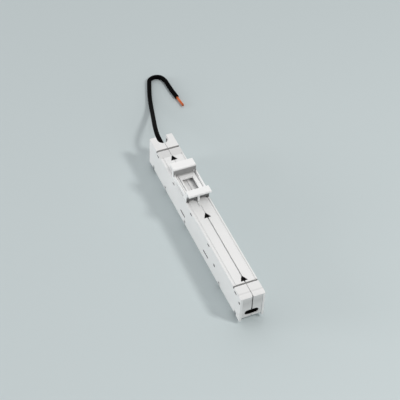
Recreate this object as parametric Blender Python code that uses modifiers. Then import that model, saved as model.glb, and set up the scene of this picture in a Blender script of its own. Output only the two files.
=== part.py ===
"""Power track adapter: a one-pole busbar adapter with a DIN rail support and a stripped lead.

The housing lies on its back, so +Z points from the busbars to the device that it carries.
X runs across the housing, and +Y along it towards the end where the lead comes out.
The origin is the middle of the surface that the housing stands on.
"""

import math

import bmesh
import bpy
from mathutils import Matrix, Vector

mm = 0.001

# Clearances
FIT = 0.3 * mm
SEAM = 0.3 * mm
SLIVER = 0.02 * mm
MERGE = 0.001 * mm
FLAT_ANGLE = 0.5
CREASE_ANGLE = 40.0

# Housing as a whole
LENGTH = 160.0 * mm
WIDTH = 17.5 * mm
BODY_HEIGHT = 23.1 * mm
FOOT_HEIGHT = 2.6 * mm
WALL = 1.6 * mm
TOP_WALL = 2.0 * mm
FLOOR_WALL = 1.6 * mm
FLOOR_RISE = 2.4 * mm
EDGE_ROUND = 0.45 * mm

END = LENGTH / 2
SIDE = WIDTH / 2
INNER_SIDE = SIDE - WALL
BOTTOM = FOOT_HEIGHT
TOP = BOTTOM + BODY_HEIGHT
FLOOR_UNDER = BOTTOM + FLOOR_RISE
FLOOR_TOP = FLOOR_UNDER + FLOOR_WALL
CAVITY_TOP = TOP - TOP_WALL
LOWER_WALL = -END + WALL

# Ribs inside the bottom edge, on which the housing stands
FOOT_THICKNESS = 1.5 * mm
FOOT_FROM_END = 11.0 * mm

# Notches in the bottom edge
NOTCHES_FROM_WIRE_END = (8.4 * mm, 31.0 * mm)
NOTCH_FROM_MIDDLE_BAR = 16.6 * mm
NOTCHES_FROM_LOWER_END = (33.4 * mm, 6.8 * mm)
EDGE_NOTCH_LENGTH = 2.6 * mm
EDGE_NOTCH_TOP = 5.9 * mm

# Slope at the top of the lower end
END_SLOPE_LENGTH = 3.2 * mm
END_SLOPE_DROP = 0.8 * mm

# Panel between the side walls at the lower end
PANEL_RECESS = 0.4 * mm
PANEL_BELOW_TOP = 1.2 * mm

# Three busbars at even pitch under the housing, each with a mark on the seam
FIRST_BAR_FROM_END = 23.8 * mm
LAST_BAR_FROM_END = 16.2 * mm
MARK_LENGTH = 5.0 * mm
MARK_WIDTH = 5.2 * mm
MARK_DEPTH = 0.1 * mm

FIRST_BAR = END - FIRST_BAR_FROM_END
LAST_BAR = -END + LAST_BAR_FROM_END
MIDDLE_BAR = (FIRST_BAR + LAST_BAR) / 2
BARS = (FIRST_BAR, MIDDLE_BAR, LAST_BAR)

# Grooves across the top, along the seam and along the sides
CROSS_GROOVE_WIDTH = 1.3 * mm
CROSS_GROOVE_DEPTH = 1.5 * mm
WIRE_GROOVE_FROM_END = 14.1 * mm
LOWER_GROOVE_FROM_END = 11.6 * mm
TRACK_FROM_WIRE_END = 21.2 * mm
LAND_DROP = 0.25 * mm
SEAM_GROOVE_WIDTH = 0.7 * mm
SEAM_GROOVE_DEPTH = 1.2 * mm
END_GROOVE_DEPTH = 0.7 * mm
TRACK_FROM_SIDE = 1.25 * mm
TRACK_WIDTH = 0.9 * mm
TRACK_DEPTH = 0.5 * mm
TRACK_LEAN = 0.2 * mm
TRACK_FIT = 0.25 * mm

WIRE_GROOVE = END - WIRE_GROOVE_FROM_END
LOWER_GROOVE = -END + LOWER_GROOVE_FROM_END
TRACK_END = END - TRACK_FROM_WIRE_END
TRACK_OUTER = SIDE - TRACK_FROM_SIDE

# Tab where the seam steps sideways
TAB_FROM_MIDDLE_BAR = 12.4 * mm
TAB_LENGTH = 5.8 * mm
TAB_REACH = 0.8 * mm

# Snap arms under the top wall, which end in windows of the left side
FIRST_SNAP_FROM_WIRE_END = 16.6 * mm
SNAPS_FROM_MIDDLE_BAR = (38.0 * mm, 6.4 * mm, -23.6 * mm)
LAST_SNAP_FROM_LOWER_END = 8.4 * mm
SNAP_WINDOW_LENGTH = 3.0 * mm
SNAP_WINDOW_HEIGHT = 1.4 * mm
SNAP_BELOW_TOP = 2.8 * mm
SNAP_ROOT = 3.0 * mm
SNAP_RECESS = 1.2 * mm

# Tongues over the floor, which end in the long slots of the left side
TONGUES_FROM_MIDDLE_BAR = (20.5 * mm, -19.9 * mm)
TONGUE_SLOT_LENGTH = 8.0 * mm
TONGUE_SLOT_HEIGHT = 1.5 * mm
TONGUE_ABOVE_FLOOR = 3.2 * mm
TONGUE_ROOT = 4.0 * mm

# Round mark of the mould's gate on the left side
GATE_MARK_FROM_MIDDLE_BAR = -34.1 * mm
GATE_MARK_HEIGHT = 13.5 * mm
GATE_MARK_DIAMETER = 2.6 * mm
GATE_MARK_DEPTH = 0.25 * mm

# Wire-end block with its notch
BLOCK_LENGTH = 9.5 * mm
BLOCK_WALL = 1.9 * mm
BLOCK_CORE_TOP = 12.0 * mm
NOTCH_RADIUS = 4.0 * mm
TIE_HOLE_DIAMETER = 1.8 * mm
TIE_HOLE_FROM_END = 1.3 * mm
TIE_HOLE_BELOW_TOP = 4.1 * mm
TIE_HOLE_DEPTH = 1.5 * mm
LEAD_DIAMETER = 3.4 * mm
COPPER_DIAMETER = 1.9 * mm
LEAD_BELOW_TOP = 6.0 * mm
LEAD_FROM_NOTCH = 3.6 * mm

CAVITY_END = END - BLOCK_LENGTH
NOTCH_BACK = CAVITY_END + BLOCK_WALL
LEAD_HEIGHT = TOP - LEAD_BELOW_TOP
LEAD_START = NOTCH_BACK + LEAD_FROM_NOTCH

# Release slot in the lower end, and the slider behind it
SLOT_WIDTH = 10.2 * mm
SLOT_HEIGHT = 4.6 * mm
SLOT_ABOVE_FLOOR = 2.6 * mm
SLIDER_LENGTH = 8.4 * mm
SLIDER_HEIGHT = 6.0 * mm
SLIDER_TRAVEL = 3.4 * mm
NOSE_INSET = 0.3 * mm
TOOL_POCKET_DEPTH = 2.5 * mm
TOOL_POCKET_MARGIN = 1.0 * mm
STEM_LENGTH = 3.0 * mm
STEM_WIDTH = 5.0 * mm
STEM_FROM_FRONT = 4.9 * mm
TOE_REACH = 2.2 * mm
TOE_THICKNESS = 1.6 * mm
TOE_CLEARANCE = 0.4 * mm
SPRING_OUTER = 4.2 * mm
SPRING_WIRE = 0.5 * mm
SPRING_LENGTH = 12.0 * mm
SPRING_TURNS = 7
RIB_THICKNESS = 1.3 * mm
GUIDE_RIB_REACH = 2.9 * mm
SPIGOT_DIAMETER = 2.2 * mm
SPIGOT_LENGTH = 2.6 * mm

# Cross rivet at the lower end
RIVET_FROM_END = 2.1 * mm
RIVET_BELOW_TOP = 6.0 * mm
RIVET_DIAMETER = 1.6 * mm
RIVET_RECESS = 1.2 * mm

# Contact parts at the first bar
CARRIER_LENGTH = 11.0 * mm
CARRIER_SLOT = 6.6 * mm
MOUTH_WIDTH = 6.0 * mm
MOUTH_LENGTH = 13.0 * mm
BAR_THICKNESS = 1.2 * mm
BAR_WIDTH = 4.0 * mm
TONGUE_WIDTH = 2.4 * mm
FORK_THICKNESS = 0.8 * mm
FORK_LENGTH = 10.0 * mm
FORK_SHOULDER = 2.3 * mm
FORK_PINCH = 1.2 * mm
FORK_PINCH_SHARE = 0.36
FORK_MOUTH_FLARE = 1.9 * mm
FORK_BEND = 0.5 * mm
FORK_STRAIGHT = 1.6 * mm
CLIP_THICKNESS = 0.4 * mm
CLIP_HEIGHT = 3.0 * mm
CLIP_BEND = 0.6 * mm
CONTACT_RIVET = 1.6 * mm
CONTACT_RIVET_HEAD = 3.0 * mm
CONTACT_RIVET_HEAD_THICKNESS = 0.6 * mm
SLEEVE_WALL = 0.5 * mm
SLEEVE_LENGTH = 5.1 * mm
SLEEVE_INSET = 1.0 * mm
STRANDS_INSET = 0.6 * mm
INSERT_LENGTH = 9.4 * mm

# Fixed hook at the wire end
HOOK_HEAD_LENGTH = 5.6 * mm
HOOK_HEAD_HEIGHT = 2.5 * mm
HOOK_TOE_REACH = 4.5 * mm

# Rail support
RAIL_SPAN = 35.0 * mm
RAIL_FROM_WIRE_END = 55.65 * mm
RAIL_TOP_ABOVE = 10.2 * mm
RAIL_PLATE_ABOVE = 3.6 * mm
LIP_OVERHANG = 4.2 * mm
LIP_THICKNESS = 1.6 * mm
UPPER_FLANGE = 7.4 * mm
LOWER_FLANGE = 6.2 * mm
RAIL_INSET = 0.3 * mm
LIP_ROUND = 0.6 * mm
CURB_WIDTH = 0.9 * mm
CURB_HEIGHT = 1.6 * mm
CURB_GROOVE_WIDTH = 0.6 * mm
CURB_GROOVE_DEPTH = 1.2 * mm
PLATE_THICKNESS = 1.7 * mm
BASE_WALL = 1.9 * mm
PLATE_SLOT_FROM_SIDE = 3.05 * mm
PLATE_SLOT_WIDTH = 0.6 * mm
PLATE_SLOT_MARGIN = 0.8 * mm
SIDE_SLOT_ABOVE = 1.2 * mm
SIDE_SLOT_HEIGHT = 0.6 * mm
SIDE_SLOT_MARGIN = 3.9 * mm
WINDOW_FROM_SIDE = 4.4 * mm
WINDOW_FROM_UPPER_WEB = 3.8 * mm
WINDOW_LENGTH = 15.2 * mm
GUSSET = 1.5 * mm
GUSSET_REACH = 1.5 * mm
CORNER_HOLE_WIDTH = 2.0 * mm
CORNER_HOLE_HEIGHT = 2.0 * mm
CORNER_HOLE_BELOW_PLATE = 0.5 * mm
BRAKE_LENGTH = 10.0 * mm
BRAKE_WIDTH = 1.6 * mm
BRAKE_THICKNESS = 0.3 * mm
BRAKE_BOW = 0.6 * mm
BRAKE_FROM_WEB = 0.8 * mm
RAIL_SIDE = SIDE - RAIL_INSET

# The lead's route from the housing to its stripped end, chosen by hand, lying on the table
LYING = LEAD_DIAMETER / 2
LEAD_ROUTE = (
    (0.0 * mm, LEAD_START, LEAD_HEIGHT),
    (0.1 * mm, 82.0 * mm, 19.6 * mm),
    (0.9 * mm, 89.5 * mm, 18.7 * mm),
    (3.1 * mm, 98.6 * mm, 16.2 * mm),
    (7.0 * mm, 111.5 * mm, 11.3 * mm),
    (11.1 * mm, 124.8 * mm, 6.3 * mm),
    (14.5 * mm, 136.2 * mm, 3.1 * mm),
    (17.2 * mm, 145.4 * mm, 1.9 * mm),
    (19.9 * mm, 153.4 * mm, LYING),
    (22.9 * mm, 161.2 * mm, LYING),
    (25.0 * mm, 165.9 * mm, LYING),
    (29.7 * mm, 167.9 * mm, LYING),
    (34.3 * mm, 165.9 * mm, LYING),
    (36.2 * mm, 161.2 * mm, LYING),
    (36.5 * mm, 154.6 * mm, LYING),
    (36.8 * mm, 147.4 * mm, LYING),
    (37.5 * mm, 139.5 * mm, LYING),
)
LEAD_POINT_SPACING = 4.6 * mm
BARE_LENGTH = 10.5 * mm


def clear_scene():
    for old in list(bpy.data.objects):
        bpy.data.objects.remove(old, do_unlink=True)


clear_scene()
part = bpy.data.collections.new("power_track_adapter")
cutters = bpy.data.collections.new("cutters")
for collection in (part, cutters):
    bpy.context.scene.collection.children.link(collection)


def material(name, colour, roughness, metallic=0.0):
    made = bpy.data.materials.new(name)
    made.use_nodes = True
    shader = made.node_tree.nodes["Principled BSDF"]
    shader.inputs["Base Color"].default_value = (*colour, 1.0)
    shader.inputs["Roughness"].default_value = roughness
    shader.inputs["Metallic"].default_value = metallic
    return made


def place(name, mesh, finish=None):
    """Puts a mesh in the part's collection, or with the cutters when it has no finish."""
    made = bpy.data.objects.new(name, mesh)
    if finish is None:
        cutters.objects.link(made)
        made.hide_render = True
        made.display_type = "WIRE"
    else:
        part.objects.link(made)
        mesh.materials.clear()
        mesh.materials.append(finish)
    return made


def welded(curve):
    """The mesh of a filled curve object, with its caps welded on and its faces pointing out."""
    bpy.context.scene.collection.objects.link(curve)
    bpy.context.view_layer.update()
    graph = bpy.context.evaluated_depsgraph_get()
    mesh = bpy.data.meshes.new_from_object(curve.evaluated_get(graph))
    mesh.transform(curve.matrix_world)
    bpy.data.objects.remove(curve, do_unlink=True)
    bm = bmesh.new()
    bm.from_mesh(mesh)
    bmesh.ops.remove_doubles(bm, verts=bm.verts, dist=MERGE)
    bmesh.ops.dissolve_degenerate(bm, dist=MERGE, edges=bm.edges)
    bmesh.ops.dissolve_limit(bm, angle_limit=math.radians(FLAT_ANGLE), verts=bm.verts, edges=bm.edges)
    bmesh.ops.recalc_face_normals(bm, faces=bm.faces)
    bm.to_mesh(mesh)
    bm.free()
    return mesh


# How a flat outline's own x, y and thickness lie in the part
ALONG_X = Matrix(((0, 0, 1, 0), (1, 0, 0, 0), (0, 1, 0, 0), (0, 0, 0, 1)))
ALONG_Y = Matrix(((1, 0, 0, 0), (0, 0, -1, 0), (0, 1, 0, 0), (0, 0, 0, 1)))
ALONG_Z = Matrix.Identity(4)


def prism(name, outline, low, high, turn, finish=None):
    """A flat outline extruded from low to high along X, Y or Z."""
    curve = bpy.data.curves.new(name, "CURVE")
    curve.dimensions = "2D"
    curve.fill_mode = "BOTH"
    curve.extrude = abs(high - low) / 2
    line = curve.splines.new("POLY")
    line.points.add(len(outline) - 1)
    for point, (u, v) in zip(line.points, outline):
        point.co = (u, v, 0.0, 1.0)
    line.use_cyclic_u = True
    made = bpy.data.objects.new(name, curve)
    middle = (low + high) / 2
    if turn is ALONG_Y:
        middle = -middle
    made.matrix_world = turn @ Matrix.Translation((0.0, 0.0, middle))
    return place(name, welded(made), finish)


def box(name, x, y, z, finish=None):
    """A box from three (low, high) pairs."""
    bm = bmesh.new()
    bmesh.ops.create_cube(bm, size=1.0)
    size = Vector((x[1] - x[0], y[1] - y[0], z[1] - z[0]))
    middle = Vector((x[0] + x[1], y[0] + y[1], z[0] + z[1])) / 2
    bmesh.ops.scale(bm, vec=size, verts=bm.verts)
    bmesh.ops.translate(bm, vec=middle, verts=bm.verts)
    mesh = bpy.data.meshes.new(name)
    bm.to_mesh(mesh)
    bm.free()
    return place(name, mesh, finish)


def rod(name, start, end, radius, sides=20, finish=None):
    """A round rod between two points."""
    start = Vector(start)
    end = Vector(end)
    bm = bmesh.new()
    bmesh.ops.create_cone(
        bm, cap_ends=True, segments=sides, radius1=radius, radius2=radius, depth=(end - start).length
    )
    turn = (end - start).to_track_quat("Z", "Y").to_matrix().to_4x4()
    bmesh.ops.transform(bm, matrix=Matrix.Translation((start + end) / 2) @ turn, verts=bm.verts)
    mesh = bpy.data.meshes.new(name)
    bm.to_mesh(mesh)
    bm.free()
    if finish is not None:
        mesh.shade_smooth()
        mesh.set_sharp_from_angle(angle=math.radians(CREASE_ANGLE))
    return place(name, mesh, finish)


def combine(target, operation, tools):
    """One Boolean for each tool, each followed by a Weld that closes the slivers it leaves."""
    for tool in tools:
        made = target.modifiers.new(operation + " " + tool.name, "BOOLEAN")
        made.operation = operation
        made.object = tool
        weld = target.modifiers.new("weld " + tool.name, "WELD")
        weld.merge_threshold = SLIVER


def cut(target, *tools):
    combine(target, "DIFFERENCE", tools)


def join(target, *tools):
    combine(target, "UNION", tools)


def bevel_edges(target, width, segments, wanted):
    """Rounds only the edges for which wanted(first corner, second corner) is true."""
    mesh = target.data
    weights = mesh.attributes.new("bevel_weight_edge", "FLOAT", "EDGE")
    for edge in mesh.edges:
        first, second = (mesh.vertices[i].co for i in edge.vertices)
        weights.data[edge.index].value = 1.0 if wanted(first, second) else 0.0
    made = target.modifiers.new("rounded edges", "BEVEL")
    made.limit_method = "WEIGHT"
    made.width = width
    made.segments = segments


def span(middle, length):
    return (middle - length / 2, middle + length / 2)


def sided(side, near, far):
    """The x range from near to far of the seam on one side, low value first."""
    return tuple(sorted((side * near, side * far)))


def arc(centre, radius, start, end, steps):
    """Points on an arc, angles in degrees."""
    points = []
    for i in range(steps + 1):
        angle = math.radians(start + (end - start) * i / steps)
        points.append((centre[0] + radius * math.cos(angle), centre[1] + radius * math.sin(angle)))
    return points


# Finishes
shell_grey = material("polyamide_light_grey", (0.79, 0.80, 0.80), 0.48)
rail_grey = material("polyamide_rail_grey", (0.81, 0.82, 0.82), 0.45)
black_plastic = material("polyamide_black", (0.012, 0.012, 0.013), 0.5)
pvc_black = material("pvc_black", (0.01, 0.01, 0.011), 0.42)
copper = material("copper", (0.80, 0.36, 0.20), 0.32, 1.0)
tinned = material("tinned_bronze", (0.72, 0.70, 0.66), 0.34, 1.0)
steel = material("zinc_plated_steel", (0.62, 0.63, 0.64), 0.36, 1.0)
spring_steel = material("spring_steel", (0.50, 0.51, 0.52), 0.3, 1.0)


# Housing shells
def shell_outline(side):
    """One half of the housing seen along it, with its outer edges rounded."""
    x = SIDE - EDGE_ROUND
    rounded = arc((x, BOTTOM + EDGE_ROUND), EDGE_ROUND, -90, 0, 2)
    rounded += arc((x, TOP - EDGE_ROUND), EDGE_ROUND, 0, 90, 2)
    points = [(SEAM / 2, BOTTOM)] + rounded + [(SEAM / 2, TOP)]
    return [(side * u, v) for u, v in points]


def mark_outline(middle, clearance=0.0):
    """The triangle of a busbar mark, its point towards the wire end, with its sides moved inwards."""
    half = MARK_WIDTH / 2
    inner_radius = half * MARK_LENGTH / (half + math.hypot(half, MARK_LENGTH))
    centre = middle - MARK_LENGTH / 2 + inner_radius
    share = (inner_radius - clearance) / inner_radius
    point = middle + MARK_LENGTH / 2
    base = middle - MARK_LENGTH / 2
    corners = ((0.0, point), (-half, base), (half, base))
    return [(x * share, centre + (y - centre) * share) for x, y in corners]


def notch_outline():
    """The wire-end notch from above: straight sides and a half-round back."""
    middle = NOTCH_BACK + NOTCH_RADIUS
    back = arc((0.0, middle), NOTCH_RADIUS, 180, 360, 12)
    return [(-NOTCH_RADIUS, END + WALL)] + back + [(NOTCH_RADIUS, END + WALL)]


def slot_outline(width, height, level):
    """A slot with round ends, seen along the housing."""
    reach = (width - height) / 2
    right = arc((reach, level), height / 2, -90, 90, 8)
    left = arc((-reach, level), height / 2, 90, 270, 8)
    return right + left


def track_outline(side, clearance, top, depth):
    """The section of a guide groove, which leans outwards so that the support can't lift off."""
    outer = TRACK_OUTER - clearance
    inner = TRACK_OUTER - TRACK_WIDTH + clearance
    lean = TRACK_LEAN * depth / TRACK_DEPTH
    upper = TOP + top
    lower = TOP - depth
    rise = TRACK_LEAN * top / TRACK_DEPTH
    points = [
        (side * (inner - rise), upper),
        (side * (outer - rise), upper),
        (side * (outer + lean), lower),
        (side * (inner + lean), lower),
    ]
    return points


EDGE_NOTCHES = [END - distance for distance in NOTCHES_FROM_WIRE_END]
EDGE_NOTCHES += [MIDDLE_BAR + NOTCH_FROM_MIDDLE_BAR]
EDGE_NOTCHES += [-END + distance for distance in NOTCHES_FROM_LOWER_END]
SNAPS = [END - FIRST_SNAP_FROM_WIRE_END]
SNAPS += [MIDDLE_BAR + distance for distance in SNAPS_FROM_MIDDLE_BAR]
SNAPS += [-END + LAST_SNAP_FROM_LOWER_END]
TONGUES = [MIDDLE_BAR + distance for distance in TONGUES_FROM_MIDDLE_BAR]
TAB_MIDDLE = MIDDLE_BAR + TAB_FROM_MIDDLE_BAR
SLOT_LEVEL = FLOOR_TOP + SLOT_ABOVE_FLOOR
SNAP_LEVEL = TOP - SNAP_BELOW_TOP
TONGUE_LEVEL = FLOOR_TOP + TONGUE_ABOVE_FLOOR
SLIDER_FRONT = LOWER_WALL + FIT
SLIDER_BACK = SLIDER_FRONT + SLIDER_LENGTH
SLIDER_BOTTOM = FLOOR_TOP + FIT
SLIDER_TOP = SLIDER_BOTTOM + SLIDER_HEIGHT
STEM_FRONT = SLIDER_FRONT + STEM_FROM_FRONT
STEM_BACK = STEM_FRONT + STEM_LENGTH
SPRING_FRONT = SLIDER_BACK + FIT
SPRING_BACK = SPRING_FRONT + SPRING_LENGTH
SPRING_RIB = SPRING_BACK + FIT
GUIDE_RIB_UNDER = SLIDER_TOP + FIT
RIVET_Y = -END + RIVET_FROM_END
RIVET_Z = TOP - RIVET_BELOW_TOP
CARRIER_END = FIRST_BAR + CARRIER_LENGTH / 2
HOOK_HEAD_FRONT = CAVITY_END - FIT - HOOK_HEAD_LENGTH
HOOK_STEM_MIDDLE = HOOK_HEAD_FRONT + HOOK_HEAD_LENGTH / 2

# Cutters that both shells share, each crossing the seam
marks = [
    prism(f"mark_{i}", mark_outline(y), CAVITY_TOP - FIT, TOP + WALL, ALONG_Z)
    for i, y in enumerate(BARS)
]
end_slope = prism(
    "end_slope",
    [(-END + END_SLOPE_LENGTH, TOP), (-END, TOP - END_SLOPE_DROP), (-END - WALL, TOP), (-END, TOP + WALL)],
    -SIDE - WALL,
    SIDE + WALL,
    ALONG_X,
)
notch = prism("wire_notch", notch_outline(), LEAD_HEIGHT - LEAD_DIAMETER / 2 - FIT, TOP + WALL, ALONG_Z)
lead_hole = rod(
    "lead_hole",
    (0.0, CAVITY_END - WALL, LEAD_HEIGHT),
    (0.0, NOTCH_BACK + WALL, LEAD_HEIGHT),
    LEAD_DIAMETER / 2 + FIT,
)
cross_grooves = [
    box(
        f"cross_groove_{i}",
        (-SIDE - WALL, SIDE + WALL),
        span(y, CROSS_GROOVE_WIDTH),
        (TOP - CROSS_GROOVE_DEPTH, TOP + WALL),
    )
    for i, y in enumerate((WIRE_GROOVE, LOWER_GROOVE))
]
land = box(
    "land",
    (-SIDE - WALL, SIDE + WALL),
    (TRACK_END, WIRE_GROOVE),
    (TOP - LAND_DROP, TOP + WALL),
)
release_slot = prism(
    "release_slot",
    slot_outline(SLOT_WIDTH, SLOT_HEIGHT, SLOT_LEVEL),
    -END - WALL,
    LOWER_WALL + FIT,
    ALONG_Y,
)
seam_groove = box(
    "seam_groove",
    span(0.0, SEAM_GROOVE_WIDTH),
    (LOWER_GROOVE, MIDDLE_BAR),
    (TOP - SEAM_GROOVE_DEPTH, TOP + WALL),
)
end_groove = box(
    "end_groove",
    span(0.0, SEAM_GROOVE_WIDTH),
    (-END - WALL, -END + PANEL_RECESS + END_GROOVE_DEPTH),
    (SLOT_LEVEL, TOP + WALL),
)
tie_hole = rod(
    "tie_hole",
    (-NOTCH_RADIUS - TIE_HOLE_DEPTH, END - TIE_HOLE_FROM_END, TOP - TIE_HOLE_BELOW_TOP),
    (NOTCH_RADIUS + TIE_HOLE_DEPTH, END - TIE_HOLE_FROM_END, TOP - TIE_HOLE_BELOW_TOP),
    TIE_HOLE_DIAMETER / 2,
    16,
)
rivet_hole = rod(
    "rivet_hole",
    (-SIDE - WALL, RIVET_Y, RIVET_Z),
    (SIDE + WALL, RIVET_Y, RIVET_Z),
    RIVET_DIAMETER / 2 + FIT,
)
mouths = [
    box(
        f"contact_mouth_{i}",
        span(0.0, MOUTH_WIDTH),
        span(y, MOUTH_LENGTH),
        (FLOOR_UNDER - WALL, FLOOR_TOP + FIT),
    )
    for i, y in enumerate(BARS[:2])
]
latch_gap = box(
    "latch_gap",
    span(0.0, STEM_WIDTH + 2 * FIT),
    (STEM_FRONT - FIT, STEM_BACK + SLIDER_TRAVEL + FIT),
    (FLOOR_UNDER - WALL, FLOOR_TOP + FIT),
)
hook_gap = box(
    "hook_gap",
    span(0.0, STEM_WIDTH + 2 * FIT),
    span(HOOK_STEM_MIDDLE, STEM_LENGTH + 2 * FIT),
    (FLOOR_UNDER - WALL, FLOOR_TOP + FIT),
)
edge_notches = [
    box(
        f"edge_notch_{i}",
        (-SIDE - WALL, SIDE + WALL),
        span(y, EDGE_NOTCH_LENGTH),
        (-WALL, EDGE_NOTCH_TOP),
    )
    for i, y in enumerate(EDGE_NOTCHES)
]


def half_shell(name, side):
    """One moulded half: an outer skin that is open towards the seam, with floor, ends and ribs."""
    skin = prism(name, shell_outline(side), -END, END, ALONG_Y, shell_grey)
    hollow = box(
        name + "_cavity",
        sided(side, 0.0, INNER_SIDE),
        (LOWER_WALL, CAVITY_END),
        (FLOOR_TOP, CAVITY_TOP),
    )
    recess = box(
        name + "_recess",
        sided(side, 0.0, INNER_SIDE),
        (-END - WALL, END - WALL),
        (-WALL, FLOOR_UNDER),
    )
    panel = box(
        name + "_end_panel",
        sided(side, 0.0, INNER_SIDE),
        (-END - WALL, -END + PANEL_RECESS),
        (-WALL, TOP - PANEL_BELOW_TOP),
    )
    core = box(
        name + "_block_core",
        sided(side, 0.0, INNER_SIDE),
        (NOTCH_BACK - FIT, END - WALL),
        (-WALL, BLOCK_CORE_TOP),
    )
    track = prism(
        name + "_guide_groove",
        track_outline(side, 0.0, WALL, TRACK_DEPTH),
        LOWER_GROOVE,
        TRACK_END,
        ALONG_Y,
    )
    cut(skin, end_slope, land, *cross_grooves, seam_groove, *marks, notch, hollow, recess, panel, core)
    cut(skin, track, lead_hole, tie_hole)
    guide_rib = box(
        name + "_guide_rib",
        sided(side, INNER_SIDE - GUIDE_RIB_REACH, INNER_SIDE + WALL / 2),
        (LOWER_WALL - WALL / 2, SPRING_RIB),
        (GUIDE_RIB_UNDER, GUIDE_RIB_UNDER + RIB_THICKNESS),
    )
    spring_rib = box(
        name + "_spring_rib",
        sided(side, SEAM / 2, INNER_SIDE + WALL / 2),
        (SPRING_RIB, SPRING_RIB + RIB_THICKNESS),
        (FLOOR_TOP - WALL / 2, GUIDE_RIB_UNDER + RIB_THICKNESS),
    )
    foot = box(
        name + "_foot",
        sided(side, INNER_SIDE - FOOT_THICKNESS, INNER_SIDE + WALL / 4),
        (-END + FOOT_FROM_END, END - FOOT_FROM_END),
        (0.0, FLOOR_UNDER + FLOOR_WALL / 2),
    )
    join(skin, guide_rib, spring_rib, foot)
    cut(skin, *mouths, latch_gap, hook_gap, release_slot, end_groove, rivet_hole, *edge_notches)
    return skin


def snap_windows(skin):
    """The left shell's windows for the snap arms and slots for the floor tongues."""
    for i, y in enumerate(SNAPS):
        window = box(
            f"snap_window_{i}",
            (-SIDE - WALL, -INNER_SIDE + WALL),
            span(y, SNAP_WINDOW_LENGTH),
            span(SNAP_LEVEL, SNAP_WINDOW_HEIGHT),
        )
        cut(skin, window)
    for i, y in enumerate(TONGUES):
        slot = box(
            f"tongue_slot_{i}",
            (-SIDE - WALL, -INNER_SIDE + WALL),
            span(y, TONGUE_SLOT_LENGTH),
            span(TONGUE_LEVEL, TONGUE_SLOT_HEIGHT),
        )
        cut(skin, slot)
    seat = box(
        "tab_seat",
        (-TAB_REACH - SEAM / 2 - FIT, SEAM),
        span(TAB_MIDDLE, TAB_LENGTH + 2 * FIT),
        (CAVITY_TOP - WALL, TOP + WALL),
    )
    gate_mark = rod(
        "gate_mark",
        (-SIDE - WALL, MIDDLE_BAR + GATE_MARK_FROM_MIDDLE_BAR, GATE_MARK_HEIGHT),
        (-SIDE + GATE_MARK_DEPTH, MIDDLE_BAR + GATE_MARK_FROM_MIDDLE_BAR, GATE_MARK_HEIGHT),
        GATE_MARK_DIAMETER / 2,
        16,
    )
    cut(skin, seat, gate_mark)


def snap_arms(skin):
    """The right shell's arms and tongues, which reach across the seam into the left shell."""
    for i, y in enumerate(SNAPS):
        thickness = SNAP_WINDOW_HEIGHT - 2 * FIT
        arm = box(
            f"snap_arm_{i}",
            (-SIDE + SNAP_RECESS, SNAP_ROOT),
            span(y, SNAP_WINDOW_LENGTH - 2 * FIT),
            span(SNAP_LEVEL, thickness),
        )
        root = box(
            f"snap_root_{i}",
            (SEAM / 2, SNAP_ROOT),
            span(y, SNAP_WINDOW_LENGTH - 2 * FIT),
            (SNAP_LEVEL - thickness / 2, CAVITY_TOP + TOP_WALL / 4),
        )
        join(skin, arm, root)
    for i, y in enumerate(TONGUES):
        thickness = TONGUE_SLOT_HEIGHT - 2 * FIT
        tongue = box(
            f"floor_tongue_{i}",
            (-SIDE + SNAP_RECESS, TONGUE_ROOT),
            span(y, TONGUE_SLOT_LENGTH - 2 * FIT),
            span(TONGUE_LEVEL, thickness),
        )
        root = box(
            f"floor_tongue_root_{i}",
            (SEAM / 2, TONGUE_ROOT),
            span(y, TONGUE_SLOT_LENGTH - 2 * FIT),
            (FLOOR_TOP - FLOOR_WALL / 2, TONGUE_LEVEL + thickness / 2),
        )
        join(skin, tongue, root)
    tab = box(
        "seam_tab",
        (-TAB_REACH - SEAM / 2, SEAM),
        span(TAB_MIDDLE, TAB_LENGTH),
        (CAVITY_TOP, TOP),
    )
    join(skin, tab)


left_shell = half_shell("left_shell", -1)
snap_windows(left_shell)
right_shell = half_shell("right_shell", 1)
snap_arms(right_shell)


# Black insulating pieces under the busbar marks
def insulating_block(name, bar, length, bottom, slot_width, slot_top):
    """A saddle under one mark, with the triangle that shows through the seam on top of it."""
    half = INNER_SIDE - FIT
    gap = slot_width / 2
    section = [
        (-half, bottom),
        (-gap, bottom),
        (-gap, slot_top),
        (gap, slot_top),
        (gap, bottom),
        (half, bottom),
        (half, CAVITY_TOP - FIT),
        (-half, CAVITY_TOP - FIT),
    ]
    low, high = span(bar, length)
    block = prism(name, section, low, high, ALONG_Y, black_plastic)
    boss = prism(
        name + "_boss",
        mark_outline(bar, FIT),
        CAVITY_TOP - 2 * FIT,
        TOP - MARK_DEPTH,
        ALONG_Z,
    )
    join(block, boss)
    return block


BAR_TOP = LEAD_HEIGHT - COPPER_DIAMETER / 2 - FIT
BAR_UNDER = BAR_TOP - BAR_THICKNESS
FORK_TOP = BAR_UNDER - FIT
RIVET_HEAD_TOP = BAR_TOP + FIT + CONTACT_RIVET_HEAD_THICKNESS

contact_carrier = insulating_block(
    "contact_carrier", FIRST_BAR, CARRIER_LENGTH, FLOOR_TOP + FIT, CARRIER_SLOT, RIVET_HEAD_TOP + FIT
)
for bar, word in zip(BARS[1:], ("middle", "lower")):
    over_latch = bar - INSERT_LENGTH / 2 < SPRING_RIB + RIB_THICKNESS + FIT
    insulating_block(
        "blank_insert_" + word,
        bar,
        INSERT_LENGTH,
        (GUIDE_RIB_UNDER + RIB_THICKNESS if over_latch else FLOOR_TOP) + FIT,
        CARRIER_SLOT,
        RIVET_HEAD_TOP + FIT,
    )


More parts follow.
